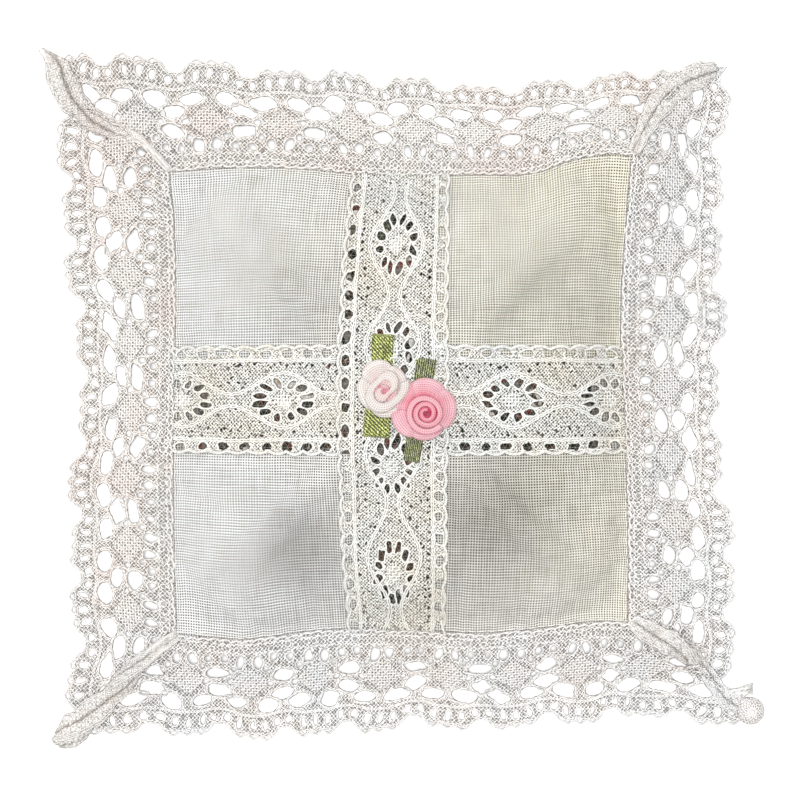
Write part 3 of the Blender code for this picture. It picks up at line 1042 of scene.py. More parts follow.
def edging_cords(side):
    """Heading, scallop-band, edge and picot cords of one side."""
    low, high = side.reach(EDGING_DEPTH)
    s = np.arange(low - 1, high + 1, 0.35)
    curl = s + 0.5 * np.sin(2 * math.pi * s / 2.7 + 1)
    winding = 0.3 + 0.3 * np.sin(2 * math.pi * s / 2.7) + 0.2 * np.sin(s / 1.9)
    lines = footside(curl, winding, 0.25, 0.2, 1.7)
    for v in (1.1, 3.2):
        lines.append(np.stack([s, v + 0.2 * np.sin(s * 3.6), 0.05 + 0.1 * np.cos(s * 3.6)], 1))
    band_line = 17.6 + 1.0 * ease((7.6 - side.from_scallop(s)) / 6)
    for n in range(2):
        z = 0.15 + 0.1 * np.cos(s * 3 + n * 2)
        zigzag = 0.32 * np.sin(s * 4.6 + n * math.pi)
        lines.append(np.stack([s, band_line + zigzag, z], 1))
    lines.append(np.stack([s, side.edge(s) - 0.25, 0.1 + 0 * s], 1))
    lines.append(np.stack([s, side.edge(s) - 0.7 + 0.12 * np.sin(s * 3.7), 0.25 + 0 * s], 1))
    for scallop in side.scallops():
        for middle in (scallop - 3.3, scallop, scallop + 3.3):
            a = np.linspace(-0.2, math.pi + 0.2, 9)
            loop = (middle + 1.3 * np.cos(a), 22.6 + 1.35 * np.sin(a), 0.2 + 0 * a)
            lines.append(np.stack(loop, 1))
    lines = [line if line.shape[1] == 4 else twisted(line) for line in lines]
    for scallop in side.scallops():
        lines += woven_patch(scallop, 10.6, 4.8, 4.0, EDGING_PITCH)
    return lines


def trimmed(lines, inside):
    """Only the stretches of each line that lie between the mitres."""
    parts = []
    for line in lines:
        parts += stretches(line, inside(line[:, 0], line[:, 1]), 2)
    return parts


def edging(name, finish):
    """One length of edging lace, from mitre to mitre."""
    side = Side(name)

    def between(s, v):
        low, high = side.reach(v)
        return (s > low) & (s < high)

    holes = edging_holes(side)
    low, high = side.reach(EDGING_DEPTH)
    box = ((low, -0.6), (high, EDGING_DEPTH))
    families = net_threads(box, EDGING_PITCH, holes, side.inside, 31, 0.15)
    cords = trimmed(edging_cords(side), between) + rim_cords(holes, side.inside)
    net = [[side.lay(line) for line in family] for family in families]
    lines = [side.lay(line) for line in cords]
    main, others = lace_length(f"edging_{name}", f"edging_lace_{name}", net, lines, RIM, finish)


# Linen squares and back


# Places where the filling lies close under the linen: x, y, reach and how much
DULL_PLACES = (
    (-22.0, -35.0, 13.0, 1.0),
    (19.0, -30.0, 18.0, 1.0),
    (33.0, -18.0, 12.0, 0.35),
    (-20.0, 20.0, 20.0, 0.5),
    (38.0, 24.0, 14.0, 0.45),
    (20.0, 20.0, 12.0, 0.3),
)


def linen_marks(x, y):
    """How yellow the linen is and how much of the filling shows through it."""
    close = 0.07 * drift(x * 1.6, y * 1.6, 12)
    for place_x, place_y, reach, amount in DULL_PLACES:
        close = close + amount * np.exp(-(((x - place_x) ** 2 + (y - place_y) ** 2) / reach**2))
    yellowed = 0.36 + x / 110 + y / 350 + 0.12 * drift(x, y, 15)
    return {"yellowed": np.clip(yellowed, 0, 1), "filling_near": np.clip(close, 0, 1)}


def linen_square(name, x_range, y_range, cover, finish):
    """One square of the front, laid on the cover."""
    lines = [np.linspace(*ends, int(abs(ends[1] - ends[0]) / 0.6)) for ends in (x_range, y_range)]
    x, y = np.meshgrid(*lines, indexing="ij")
    ripple = 0.10 * drift(x * 3, y * 3, 5) * ease((HALF - np.maximum(np.abs(x), np.abs(y))) / 3)
    top = cover.lay(x, y, ripple)
    uv = np.stack([x, y], -1)
    marks = linen_marks(x, y)
    piece = sheet_piece(f"linen_{name}", top, LINEN_THICKNESS, finish, uv, marks)
    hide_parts(f"linen_square_{name}")


def linen_back(cover, finish):
    """The back of the pillow, one sheet from seam to seam."""
    line = np.linspace(-HALF, HALF, 110)
    x, y = np.meshgrid(line, line, indexing="ij")
    inside = cover.lay_back(x, y, 0.35)
    uv = np.stack([x, y], -1)
    marks = {"yellowed": 0.5 + 0.4 * drift(x, y, 9), "filling_near": 0.2 + 0.2 * drift(x, y, 2)}
    piece = sheet_piece("linen_back", inside, LINEN_THICKNESS, finish, uv, marks)
    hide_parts("back_panel")


def tulle(cover, finish):
    """Bobbin net of hair-fine threads behind the whole front."""
    pitch = 1.2
    lines = []
    for angle in (0, 60, 120):
        a = math.radians(angle)
        ahead, aside = np.array((math.cos(a), math.sin(a))), np.array((-math.sin(a), math.cos(a)))
        for number in range(-66, 67):
            way = np.arange(-HALF * 1.45, HALF * 1.45, pitch)
            line = aside * number * pitch + ahead * way[:, None]
            line = line[(np.abs(line) < HALF - 0.5).all(axis=1)]
            if len(line) > 2:
                lines.append(cover.lay(line[:, 0], line[:, 1], np.full(len(line), NET_LIFT)))
    piece = thread_piece("tulle_lining", lines, 0.04, finish, 3)
    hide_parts("net_lining")
    return piece


# Filling

PETAL_TINTS = (
    ("#23281C", 6),
    ("#33361F", 4),
    ("#4A4D33", 2),
    ("#6B655A", 6),
    ("#7D756B", 3),
    ("#5B3F2C", 5),
    ("#7A3B2A", 3),
    ("#A0543F", 1),
    ("#D9C9B4", 1),
    ("#EDE6DC", 2),
)


def petal_shape(length, width, curl):
    """A small closed petal: a grid pinched at its ends, cupped and thickened."""
    bpy.ops.object.select_all(action="DESELECT")
    bpy.ops.mesh.primitive_grid_add(x_subdivisions=5, y_subdivisions=3, size=2)
    petal = bpy.context.object
    for vertex in petal.data.vertices:
        x, y = vertex.co.x, vertex.co.y
        pinch = math.sqrt(max(0.06, 1 - abs(x) ** 2.4))
        vertex.co.x = x * length / 2
        vertex.co.y = y * width / 2 * pinch
        vertex.co.z = curl * (x * x + 0.8 * y * y) + 0.25 * math.sin(x * 3)
    wall = petal.modifiers.new("wall", "SOLIDIFY")
    wall.thickness = 0.22
    bpy.ops.object.modifier_apply(modifier=wall.name)
    return taken_mesh(petal)


def dried_petals(cover, finish):
    """Loose dried petals and leaves under the front, most of them under the cross."""
    rng = np.random.default_rng(7)
    shapes = [petal_shape(7.5, 5.0, 1.1), petal_shape(6.0, 2.2, 0.5), petal_shape(4.5, 4.0, 0.7)]
    codes = [code for code, weight in PETAL_TINTS for _ in range(weight)]
    points, faces, tints, start = [], [], [], 0
    for number in range(900):
        shape, shape_faces = shapes[number % 3]
        if number % 10 < 9:
            along, across = rng.uniform(-49, 49), rng.uniform(-13, 13)
            x, y = (BAND_X + across, along) if number % 2 else (along, BAND_Y + across)
        else:
            x, y = rng.uniform(-46, 46, 2)
        depth = -2.4 - rng.uniform(0, 2.2)
        spin, tilt_x, tilt_y = rng.uniform(0, 6.28), *rng.normal(0, 0.3, 2)
        turn = np.array(
            (
                (math.cos(spin), -math.sin(spin), 0),
                (math.sin(spin), math.cos(spin), 0),
                (tilt_x, tilt_y, 1),
            )
        )
        size = rng.uniform(0.65, 1.15)
        middle = cover.lay(np.array([x]), np.array([y]), np.array([depth]))[0]
        placed = (shape * size) @ turn.T + middle
        points.append(placed)
        faces += [[i + start for i in face] for face in shape_faces]
        start += len(placed)
        tint = np.array(rgb(codes[rng.integers(len(codes))]))
        tints.append(np.tile(tint, (len(placed), 1)))
    marks = {"tint": np.concatenate(tints)}
    points = np.concatenate(points)
    ceiling = cover.lay(points[:, 0], points[:, 1], np.full(len(points), NET_LIFT - 0.3))[:, 2]
    points[:, 2] = np.minimum(points[:, 2], ceiling)
    piece = mesh_piece("dried_petals", points, faces, finish, None, marks)
    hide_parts("petal_filling")
    return piece


def filling_core(cover, finish):
    """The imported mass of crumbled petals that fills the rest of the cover."""
    reach = HALF - 8.0
    line = np.linspace(-reach, reach, 120)
    x, y = np.meshgrid(line, line, indexing="ij")
    lumps = 0.7 * drift(x * 4, y * 4, 3)
    corner = ease((np.abs(x) + np.abs(y) - 84) / 14)
    depth = 1.8 + 3.4 * fall(x * 1.08) * fall(y * 1.08) + 3.5 * corner
    top = cover.lay(x, y, lumps * 0.5 * (1 - corner) - depth)
    base = cover.lay_back(x, y, 1.0)
    top[..., 2] = np.maximum(top[..., 2], base[..., 2] + 0.3)
    faces = shell_faces(*x.shape).tolist()
    points = np.vstack([top.reshape(-1, 3), base.reshape(-1, 3)])
    tint = 0.5 + 0.5 * drift(points[:, 0] * 5, points[:, 1] * 5, 8)
    dark, light = np.array(rgb("#1E2118")), np.array(rgb("#4F4636"))
    marks = {"tint": dark + (light - dark) * tint[:, None]}
    piece = mesh_piece("crumbled_filling", points, faces, finish, None, marks)
    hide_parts("petal_filling")


# Stitching

STITCH_PITCH = 2.3  # from one hand stitch to the next along the insertion
STITCH_LENGTH = 1.6
SEAM_STITCHES = 46  # on each side of the seam


def stitches(name, node, start, end, cover, finish):
    """A row of small hand stitches from start to end."""
    start, end = np.array(start, float), np.array(end, float)
    way = np.linalg.norm(end - start)
    lines = []
    for number in range(int(way / STITCH_PITCH)):
        t = (np.array((0, 0.2, 0.5, 0.8, 1.0)) * STITCH_LENGTH + number * STITCH_PITCH) / way
        flat = start + (end - start) * t[:, None]
        flat += 0.15 * math.sin(number * 2.1)
        lift = STITCH_LIFT + np.array((-0.55, 0.0, 0.1, 0.0, -0.55))
        lines.append(cover.lay(flat[:, 0], flat[:, 1], lift))
    piece = thread_piece(name, lines, 0.16, finish, 5)
    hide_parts(node)
    return piece


def seam_stitches(cover, finish):
    """The row of stitches round the seam."""
    rows = []
    half = HALF - 0.9
    corners = np.array([(half, half), (-half, half), (-half, -half), (half, -half)])
    for start, stop in zip(corners, np.roll(corners, -1, axis=0)):
        for number in range(SEAM_STITCHES):
            t = (number + np.array((0.05, 0.2, 0.45, 0.7, 0.85))) / SEAM_STITCHES
            flat = start + (stop - start) * t[:, None]
            lift = 0.25 + np.array((-0.35, 0.0, 0.08, 0.0, -0.35))
            rows.append(cover.lay(flat[:, 0], flat[:, 1], lift))
    piece = thread_piece("seam_stitches", rows, 0.15, finish, 5)
    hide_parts("perimeter_stitching")
    return piece


def all_stitches(cover, finish):
    """The rows along the insertion and the row round the seam."""
    made = []
    inset = BAND_HALF - 1.0
    end = HALF - 1.6
    for side, sign in (("left", -1), ("right", 1)):
        x = BAND_X + sign * inset
        name = f"stitching_vertical_{side}"
        made.append(stitches(f"stitches_{side}", name, (x, -end), (x, end), cover, finish))
        inner = BAND_X + sign * (BAND_HALF + 1.0)
        for edge, sign_y in (("upper", 1), ("lower", -1)):
            y = BAND_Y + sign_y * inset
            name, node = f"stitches_{side}_{edge}", f"stitching_{side}_{edge}"
            made.append(stitches(name, node, (inner, y), (sign * end, y), cover, finish))
    return made + [seam_stitches(cover, finish)]


# Corner seams

# Radius along the seam, how many folds are rolled together, and their turns
CORNER_ROLLS = {
    "top_left": ((0.8, 1.2, 1.7, 2.1, 2.4, 2.8, 2.2, 1.4, 0.3), 2, 0.8),
    "top_right": ((1.0, 1.7, 2.2, 2.5, 2.5, 2.4, 2.1), 3, 0.5),
    "bottom_right": ((1.3, 2.3, 2.5, 2.0, 1.6, 1.4, 1.5, 2.0, 2.4), 3, 1.6),
    "bottom_left": ((0.9, 1.2, 1.6, 2.1, 2.5, 2.8, 3.0, 2.6), 3, 1.9),
}


class Roll:
    """A rolled seam as a tube: its middle line, its radius and its folds."""

    def __init__(self, corner):
        radii, self.folds, self.turns = CORNER_ROLLS[corner]
        path = np.array(ROLL_PATHS[corner])
        stations = np.concatenate([[0], np.cumsum(np.linalg.norm(np.diff(path, axis=0), axis=1))])
        self.length = stations[-1]
        self.way = np.linspace(0, self.length, 150)
        flat = np.stack([np.interp(self.way, stations, path[:, k]) for k in (0, 1)], 1)
        for _ in range(12):
            flat[1:-1] = (flat[:-2] + flat[2:] + 2 * flat[1:-1]) / 4
        t = self.way / self.length
        radius = np.interp(self.way, stations, radii)
        ends = np.clip((self.length - self.way) / (radii[-1] * 0.8), 0, 1)
        radius = radius * np.sqrt(1 - 0.985 * (1 - ends) ** 2)
        self.radius = radius * (1 + 0.08 * np.sin(t * 31) + 0.07 * np.sin(t * 17 + 1))
        out = np.linalg.norm(flat - path[0], axis=1) / 26
        height = 0.2 + 0.8 * self.radius + (SEAM_Z - 0.6) * (1 - ease(out * 1.1))
        x, y = pulled(flat[:, 0], flat[:, 1])
        self.middle = np.stack([x, y, height], 1)
        along = unit(np.gradient(self.middle, axis=0))
        self.side = unit(np.cross(along, UP))
        self.up = np.cross(self.side, along)

    def stands(self, way, angle):
        """How far a place stands out of the creases between the folds, 0 to 1."""
        return np.abs(np.sin(self.folds * angle / 2 + self.turns * math.pi * way / self.length))

    def at(self, way, angle, lift=0.0):
        """Points on the roll, at a distance along it and an angle round it."""
        t = way / self.length
        radius = np.interp(way, self.way, self.radius)
        ridge = 0.25 * (2 * self.stands(way, angle) - 1.3)
        crumple = 0.06 * np.sin(5 * angle + 46 * t) + 0.05 * np.sin(3 * angle - 71 * t)
        shape = radius * (1 + ridge + crumple) + lift
        middle, side, up = (
            np.stack([np.interp(way, self.way, line[:, k]) for k in range(3)], -1)
            for line in (self.middle, self.side, self.up)
        )
        across, rise = shape * np.cos(angle), 0.8 * shape * np.sin(angle)
        point = middle + across[..., None] * side + rise[..., None] * up
        point[..., 2] = np.maximum(point[..., 2], 0.2)
        return point

    def core(self, around=40):
        """The rolled cloth itself, as points and faces."""
        angle = np.arange(around) * 2 * math.pi / around
        way, angle = np.meshgrid(self.way, angle, indexing="ij")
        points = self.at(way, angle, -0.06)
        # Painted shade: darker in the creases between the folds, and a little grey all over.
        shade = 0.2 + 0.5 * np.clip(self.stands(way, angle) * 2, 0, 1)
        count = len(self.way)
        index = np.arange(count * around).reshape(count, around)
        after = np.roll(index, -1, axis=1)
        faces = np.stack([index[1:], after[1:], after[:-1], index[:-1]], -1).reshape(-1, 4)
        caps = [index[0].tolist(), index[-1, ::-1].tolist()]
        return points.reshape(-1, 3), faces.tolist() + caps, shade.ravel()

    def net(self):
        """The lace's own threads, wound round the roll both ways."""
        step = 0.3 * 0.7
        way = np.arange(0.3, self.length - 0.4, step)
        radius = np.maximum(np.interp(way, self.way, self.radius), 0.5)
        spin = np.cumsum(step / radius)
        count = 15
        lines = []
        for family in (1, -1):
            for number in range(count):
                angle = number * 2 * math.pi / count + family * spin
                over = np.cos(math.pi * (way / 0.47 + number) + (family > 0) * math.pi)
                points = self.at(way, angle, 0.03 + 0.08 * over)
                # Painted shade: darker in the creases between the folds and where a thread dips under
                # another.
                crease = 0.35 + 0.65 * np.clip(self.stands(way, angle) * 2, 0, 1)
                speck = 0.9 + 0.3 * drift(points[:, 0] * 12, points[:, 1] * 12, 4 + family)
                shade = (0.68 + 0.32 * over) * crease * speck
                lines.append(np.column_stack([points, shade]))
        return lines


def corner_roll(corner, finish):
    """A mitre seam: the lace's gathered ends rolled into a thick soft cord."""
    roll = Roll(corner)
    points, faces, shade = roll.core()
    core = mesh_piece(
        f"corner_roll_{corner}", points, faces, finish, None, {"painted_light": shade}
    )
    make_outward(core)
    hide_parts(f"corner_seam_{corner}")
    lines = roll.net()
    for number in range(roll.folds):
        turn = (2 * math.pi * number - math.pi) / roll.folds
        turns = roll.turns * 2 * math.pi / roll.folds
        for spread in (-0.12, 0.12):
            way = np.arange(0.3, roll.length - 0.6, 0.35)
            angle = turn - turns * way / roll.length + math.pi * 2 / roll.folds + spread
            line = roll.at(way, angle, 0.2 + 0.05 * np.sin(way * 5))
            lines.append(twisted(line))
    net = thread_piece(f"corner_threads_{corner}", lines, THREAD * 0.85, finish)
    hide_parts(f"corner_seam_{corner}")


KNOB_SQUASH = 0.85  # how flat the ball of lace is


def knob_net(x, y, z):
    """Threads round a ball of lace whose middle is at x, y and z."""
    lines = []
    for family in (1, -1):
        for number in range(16):
            t = np.linspace(0.06, 0.94, 60)
            polar = math.pi * t
            turn = number / 16 * 2 * math.pi + family * 2.6 * t
            over = np.cos(math.pi * (t * 26 + number) + (family > 0) * math.pi)
            out = 2.98 + 0.1 * over
            flat = out * np.sin(polar)
            up = KNOB_SQUASH * out * np.cos(polar)
            # Painted shade: lower where a thread dips under another.
            places = (x + flat * np.cos(turn), y + flat * np.sin(turn), z + up, 0.7 + 0.3 * over)
            line = np.stack(places, 1)
            lines.append(line[line[:, 2] > 0.4])
    return lines


def knob_flap(x, y):
    """A loose tongue of lace beside the ball, its threads cut to different lengths."""
    lines = []
    for k in range(13):
        t = np.linspace(0, 0.78 + 0.22 * abs(math.sin(2.1 * k)), 14)
        side = (k - 6) * 0.22 * (0.5 + 0.5 * t) + 0.2 * np.sin(9 * t + k)
        line = (x - 6.4 + 7.6 * t, y + 2.6 + 2.2 * t**0.7 + side, 2.2 + 1.1 * np.sin(3 * t))
        lines.append(twisted(np.stack(line, 1), 0.9, 0.4))
    return lines


def end_knob(finish):
    """The ball of lace at the end of the lower right seam, and its loose flap."""
    x, y = ROLL_PATHS["bottom_right"][-1]
    middle = (x + 0.4, y - 0.4, 2.75)
    bpy.ops.object.select_all(action="DESELECT")
    bpy.ops.mesh.primitive_uv_sphere_add(segments=32, ring_count=20, radius=2.9)
    points, faces = taken_mesh(bpy.context.object)
    lumps = 1 + 0.08 * drift(points[:, 0] * 6, points[:, 1] * 6 + points[:, 2] * 5, 3)
    points = points * lumps[:, None] * (1, 1, KNOB_SQUASH) + middle
    # Painted shade: the ball is painted at one even, middling level of light.
    shade = {"painted_light": np.full(len(points), 0.5)}
    core = mesh_piece("corner_knob", points, faces, finish, None, shade)
    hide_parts("corner_seam_bottom_right")
    lines = knob_net(*middle) + knob_flap(x, y)
    net = thread_piece("corner_knob_threads", lines, THREAD * 0.85, finish)
    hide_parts("corner_seam_bottom_right")


# Ribbon trim


def leaf_loop(name, node, finish, angle, width, length):
    """A ribbon sewn into a flat loop, its folded ends showing as two leaves."""
    low, high = box_mm(node)
    middle = (low + high) / 2
    ahead = np.array((math.cos(angle), math.sin(angle)))
    aside = np.array((-ahead[1], ahead[0]))
    height = (high[2] - low[2]) * 0.95
    a = np.linspace(-math.pi / 2, math.pi / 2, 9)
    end_x, end_z = np.cos(a) * height / 2, np.sin(a) * height / 2
    half = length / 2 - height / 2
    run = np.linspace(-half, half, 40)[1:-1]
    loop_x = np.concatenate([half + end_x, run[::-1], -half - end_x, run])
    loop_z = np.concatenate([end_z, 0 * run + height / 2, -end_z, 0 * run - height / 2])
    upper = loop_z > height * 0.45
    loop_z = loop_z + np.where(upper, 0.18 * np.cos(loop_x / half * 7), 0)
    across = np.linspace(-width / 2, width / 2, 13)
    rows = []
    for w in across:
        bow = 0.25 * (1 - (2 * w / width) ** 2)
        spread = 1 + 0.10 * loop_x / half * np.sign(middle[0])
        flat = middle[:2] + loop_x[:, None] * ahead + (w * spread)[:, None] * aside
        rows.append(np.column_stack([flat, middle[2] + loop_z + bow * np.sign(loop_z)]))
    grid = np.array(rows)
    uv = np.stack(np.meshgrid(across, np.arange(grid.shape[1]) * 0.62, indexing="ij"), -1)
    ribbon_loop(name, node, grid, uv, finish)


def ribbon_loop(name, node, grid, uv, finish):
    """Close a strip into a loop and give it the ribbon's thickness."""
    rows, columns = grid.shape[:2]
    ahead = np.roll(grid, -1, axis=1) - np.roll(grid, 1, axis=1)
    normal = unit(np.cross(ahead, np.gradient(grid, axis=0)))
    centre = grid.mean(axis=(0, 1))
    outward = np.sign(((grid - centre) * normal).sum())
    inner = grid - normal * outward * 0.16
    count = rows * columns
    index = np.arange(count).reshape(rows, columns)
    right = np.roll(index, -1, axis=1)
    outer = np.stack([index[:-1], right[:-1], right[1:], index[1:]], -1).reshape(-1, 4)
    walls = [outer, outer[:, ::-1] + count]
    for row, flip in ((0, False), (rows - 1, True)):
        a, b = index[row], right[row]
        edge = np.stack([a, a + count, b + count, b], -1)
        walls.append(edge[:, ::-1] if flip else edge)
    points = np.vstack([grid.reshape(-1, 3), inner.reshape(-1, 3)])
    uv = np.vstack([uv.reshape(-1, 2)] * 2)
    piece = mesh_piece(name, points, np.vstack(walls).tolist(), finish, uv)
    make_outward(piece)
    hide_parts(node)


def make_outward(piece):
    """Turn every face of a closed piece outwards."""
    bpy.ops.object.select_all(action="DESELECT")
    piece.select_set(True)
    bpy.context.view_layer.objects.active = piece
    bpy.ops.object.mode_set(mode="EDIT")
    bpy.ops.mesh.select_all(action="SELECT")
    bpy.ops.mesh.normals_make_consistent(inside=False)
    bpy.ops.object.mode_set(mode="OBJECT")


ROSE_RIBBON = 0.14  # thickness of the satin


class Rose:
    """A ribbon rose: a coil of folded ribbon with wider petals lapped round it."""

    def __init__(self, node, centre, middle_tone, painted_fold_shade, squash=(1.0, 1.0), turn=0.0):
        low, high = box_mm(node)
        self.node, self.base, self.top = node, low[2], high[2] - 0.2
        self.centre, self.middle_tone, self.painted_fold_shade = np.array(centre), middle_tone, painted_fold_shade
        c, n = math.cos(turn), math.sin(turn)
        self.shape = np.array(((c, -n), (n, c))) @ np.diag(squash)
        self.points, self.faces, self.uv, self.start = [], [], [], 0
        self.outward, self.rim, self.stains = [], [], []

    def add_sheet(self, r, angle, z, outward, rim, heart=(0.0, 0.0)):
        """A closed band of ribbon from a grid of polar places round the heart."""
        flat = np.stack([r * np.cos(angle), r * np.sin(angle)], -1) @ self.shape.T
        top = np.concatenate([flat + self.centre + heart, z[..., None]], -1)
        normal = unit(np.cross(np.gradient(top, axis=0), np.gradient(top, axis=1)))
        normal *= np.sign(normal[..., 2].mean())
        low = top - normal * ROSE_RIBBON
        self.faces += (shell_faces(*r.shape) + self.start).tolist()
        self.start += 2 * r.size
        down = np.linalg.norm(np.gradient(top, axis=0), axis=-1).cumsum(axis=0)
        along = np.linalg.norm(np.gradient(top, axis=1), axis=-1).mean(axis=0).cumsum()
        along = np.broadcast_to(along, down.shape)
        for store, values in (
            (self.points, np.vstack([top.reshape(-1, 3), low.reshape(-1, 3)])),
            (self.uv, np.vstack([np.stack([down, along], -1).reshape(-1, 2)] * 2)),
            (self.outward, np.tile(np.broadcast_to(outward, r.shape).ravel(), 2)),
            (self.rim, np.tile(np.broadcast_to(rim, r.shape).ravel(), 2)),
        ):
            store.append(values)

    def coil(self, turns, first, spacing, drop, start, heart, oval=0.0, lean=0.0):
        """The wound heart, each turn standing a little below the one inside it."""
        t = np.linspace(0, 1, int(turns * 40))
        angle = start + t * turns * 2 * math.pi
        gap = spacing * (0.75 + 0.5 * t)
        wander = 0.06 * np.sin(angle * 1.7) + 0.05 * np.sin(angle * 2.6 + 1)
        rim = first + spacing * turns * (0.75 * t + 0.25 * t * t) + wander * (0.4 + t)
        crest = self.top - drop * turns * t + 0.15 * np.sin(angle * 1.4)
        profile = (
            (0.06, -1.4, 0.0), (0.0, -0.6, 0.0), (0.01, -0.22, 0.2), (0.07, -0.05, 0.5),
            (0.2, 0.0, 0.45), (0.45, 0.0, 0.2), (0.68, -0.05, 0.05), (0.86, -0.16, 0.0),
            (0.95, -0.45, 0.0), (0.97, -1.7, 0.0),
        )
        stretch = 1 + oval * (1 - 0.7 * t) * np.cos(2 * (angle - lean))
        r = np.array([(rim + gap * share) * stretch for share, _, _ in profile])
        z = np.array([crest + fall_by for _, fall_by, _ in profile])
        # Painted shade: deeper pink where the ribbon falls into the crease between turns; painted
        # highlight: the lit mark pales each turn's flat crest.
        crease = np.array([min(1.0, max(0.0, -2.5 * fall_by - 0.1)) for _, fall_by, _ in profile])
        lit = np.array([mark for _, _, mark in profile])
        outward = self.middle_tone + 0.6 * t[None] - self.painted_fold_shade * crease[:, None]
        grid_angle = np.broadcast_to(angle, r.shape)
        z = np.maximum(z, self.base + 0.1)
        self.add_sheet(r, grid_angle, z, outward, np.broadcast_to(lit[:, None], r.shape), heart)

    def petal(self, start, end, inner, outer, inner_z, outer_z, lean=0.4, tone=0.9, seed=0.0):
        """One wide outer petal, its far edge rolled under."""
        u = np.linspace(0, 1, 34)
        arch = np.clip(1 - np.abs(2 * u - 1) ** 2.6, 0, 1) ** 0.42
        angle = math.radians(start) + u * math.radians(end - start)
        reach = inner + (outer - inner) * (0.25 + 0.75 * arch)
        profile = (
            (0.0, 0.0), (0.2, 0.12), (0.4, 0.2), (0.6, 0.24), (0.78, 0.26), (0.9, 0.2),
            (0.97, 0.05), (1.0, -0.2), (0.97, -0.42), (0.9, -0.5),
        )
        r = np.array([inner + (reach - inner) * share for share, _ in profile])
        slope = np.array([share for share, _ in profile])[:, None]
        swell = np.array([rise for _, rise in profile])[:, None]
        height = inner_z + (outer_z - inner_z) * slope + swell + lean * (u - 0.5)
        ruck = 0.2 * np.sin(5 * u * math.pi + seed) * slope + 0.1 * np.sin(23 * u + seed) * slope
        z = np.maximum(height + ruck * (swell > 0), self.base + 0.15)
        # Painted highlight: paler near the rolled far edge. Painted shade: deeper pink at the petal's
        # inner foot and in the dips of its rucks, paler on their rises.
        near_rim = np.clip(1 - np.abs(slope - 0.82) / 0.2, 0, 1)
        rim = np.broadcast_to(near_rim, r.shape) * 0.7
        shade = tone - self.painted_fold_shade * np.clip(1 - slope / 0.45, 0, 1) + 0.8 * ruck
        self.add_sheet(r, np.broadcast_to(angle, r.shape), z, shade + 0 * r, rim)

    def bud(self, heart, radius, height):
        """A small dome of folded ribbon that closes the coil's middle or its foot."""
        a = np.linspace(0, 2 * math.pi, 25)
        share = np.linspace(0.02, 1, 7)
        r = share[:, None] * radius * (1 + 0.1 * np.cos(2 * a + 1))[None]
        z = height - 0.5 * share[:, None] ** 2 + 0.12 * np.cos(a)[None]
        angle = np.broadcast_to(a, r.shape)
        self.add_sheet(r, angle, z, np.full_like(r, self.middle_tone - 0.2), 0 * r, heart)

    def finish(self, name, finish, slot):
        """Make the rose one piece."""
        points, uv = np.vstack(self.points), np.vstack(self.uv)
        outward = np.concatenate(self.outward)
        for x, y, reach, amount in self.stains:
            away = ((points[:, 0] - x) ** 2 + (points[:, 1] - y) ** 2) / reach**2
            outward = outward - amount * np.exp(-away)
        marks = {"outward": outward, "rim": np.concatenate(self.rim)}
        piece = mesh_piece(name, points, self.faces, finish, uv, marks)
        make_outward(piece)
        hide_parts(self.node)


def pink_rose(finish):
    """The larger rose, wound wide open."""
    rose = Rose("ribbon_rose_pink", (5.1, -1.9), 0.22, 0.6)
    top = rose.top
    for start, end, inner, outer, lean, tone, seed in (
        (-58, 52, 3.0, 7.5, 0.5, 0.75, 0.0),
        (20, 128, 3.0, 7.0, 0.5, 0.85, 1.1),
        (98, 196, 3.0, 7.1, 0.5, 0.72, 2.3),
        (168, 262, 3.0, 7.8, 0.5, 0.95, 3.1),
        (228, 322, 3.0, 7.3, 0.5, 0.8, 4.4),
    ):
        rose.petal(start, end, inner, outer, top - 2.5, top - 4.4, lean, tone, seed)
    heart = (0.6, -1.1)
    rose.coil(2.7, 0.45, 1.22, 0.42, 1.2, heart)
    rose.bud(heart, 0.62, top - 0.75)
    rose.bud(heart, 3.2, top - 1.6)
    rose.finish("rose_pink", finish, "pink_satin")


def white_rose(finish):
    """The smaller rose, half closed round a blushing bud."""
    rose = Rose("ribbon_rose_white", (-4.0, 2.7), 0.5, 0.25, (0.93, 1.04), 0.3)
    top = rose.top
    for start, end, inner, outer, lean, tone, seed in (
        (-50, 60, 2.6, 6.2, 0.5, 0.6, 0.4),
        (40, 150, 2.6, 6.4, 0.5, 0.7, 1.4),
        (130, 235, 2.6, 6.5, 0.5, 1.0, 2.5),
        (205, 320, 2.6, 6.6, 0.9, 0.7, 3.6),
    ):
        rose.petal(start, end, inner, outer, top - 1.9, top - 3.6, lean, tone, seed)
    rose.stains = [(-4.2, 1.3, 1.6, 0.36), (-5.0, 3.2, 1.3, 0.2), (-2.6, 1.6, 1.2, 0.28)]
    heart = (0.3, -0.3)
    rose.coil(1.6, 0.5, 1.95, 0.75, 2.6, heart, 0.45, 0.55)
    rose.bud(heart, 1.2, top - 0.5)
    rose.bud(heart, 2.9, top - 1.3)
    rose.finish("rose_white", finish, "white_satin")


# The picture


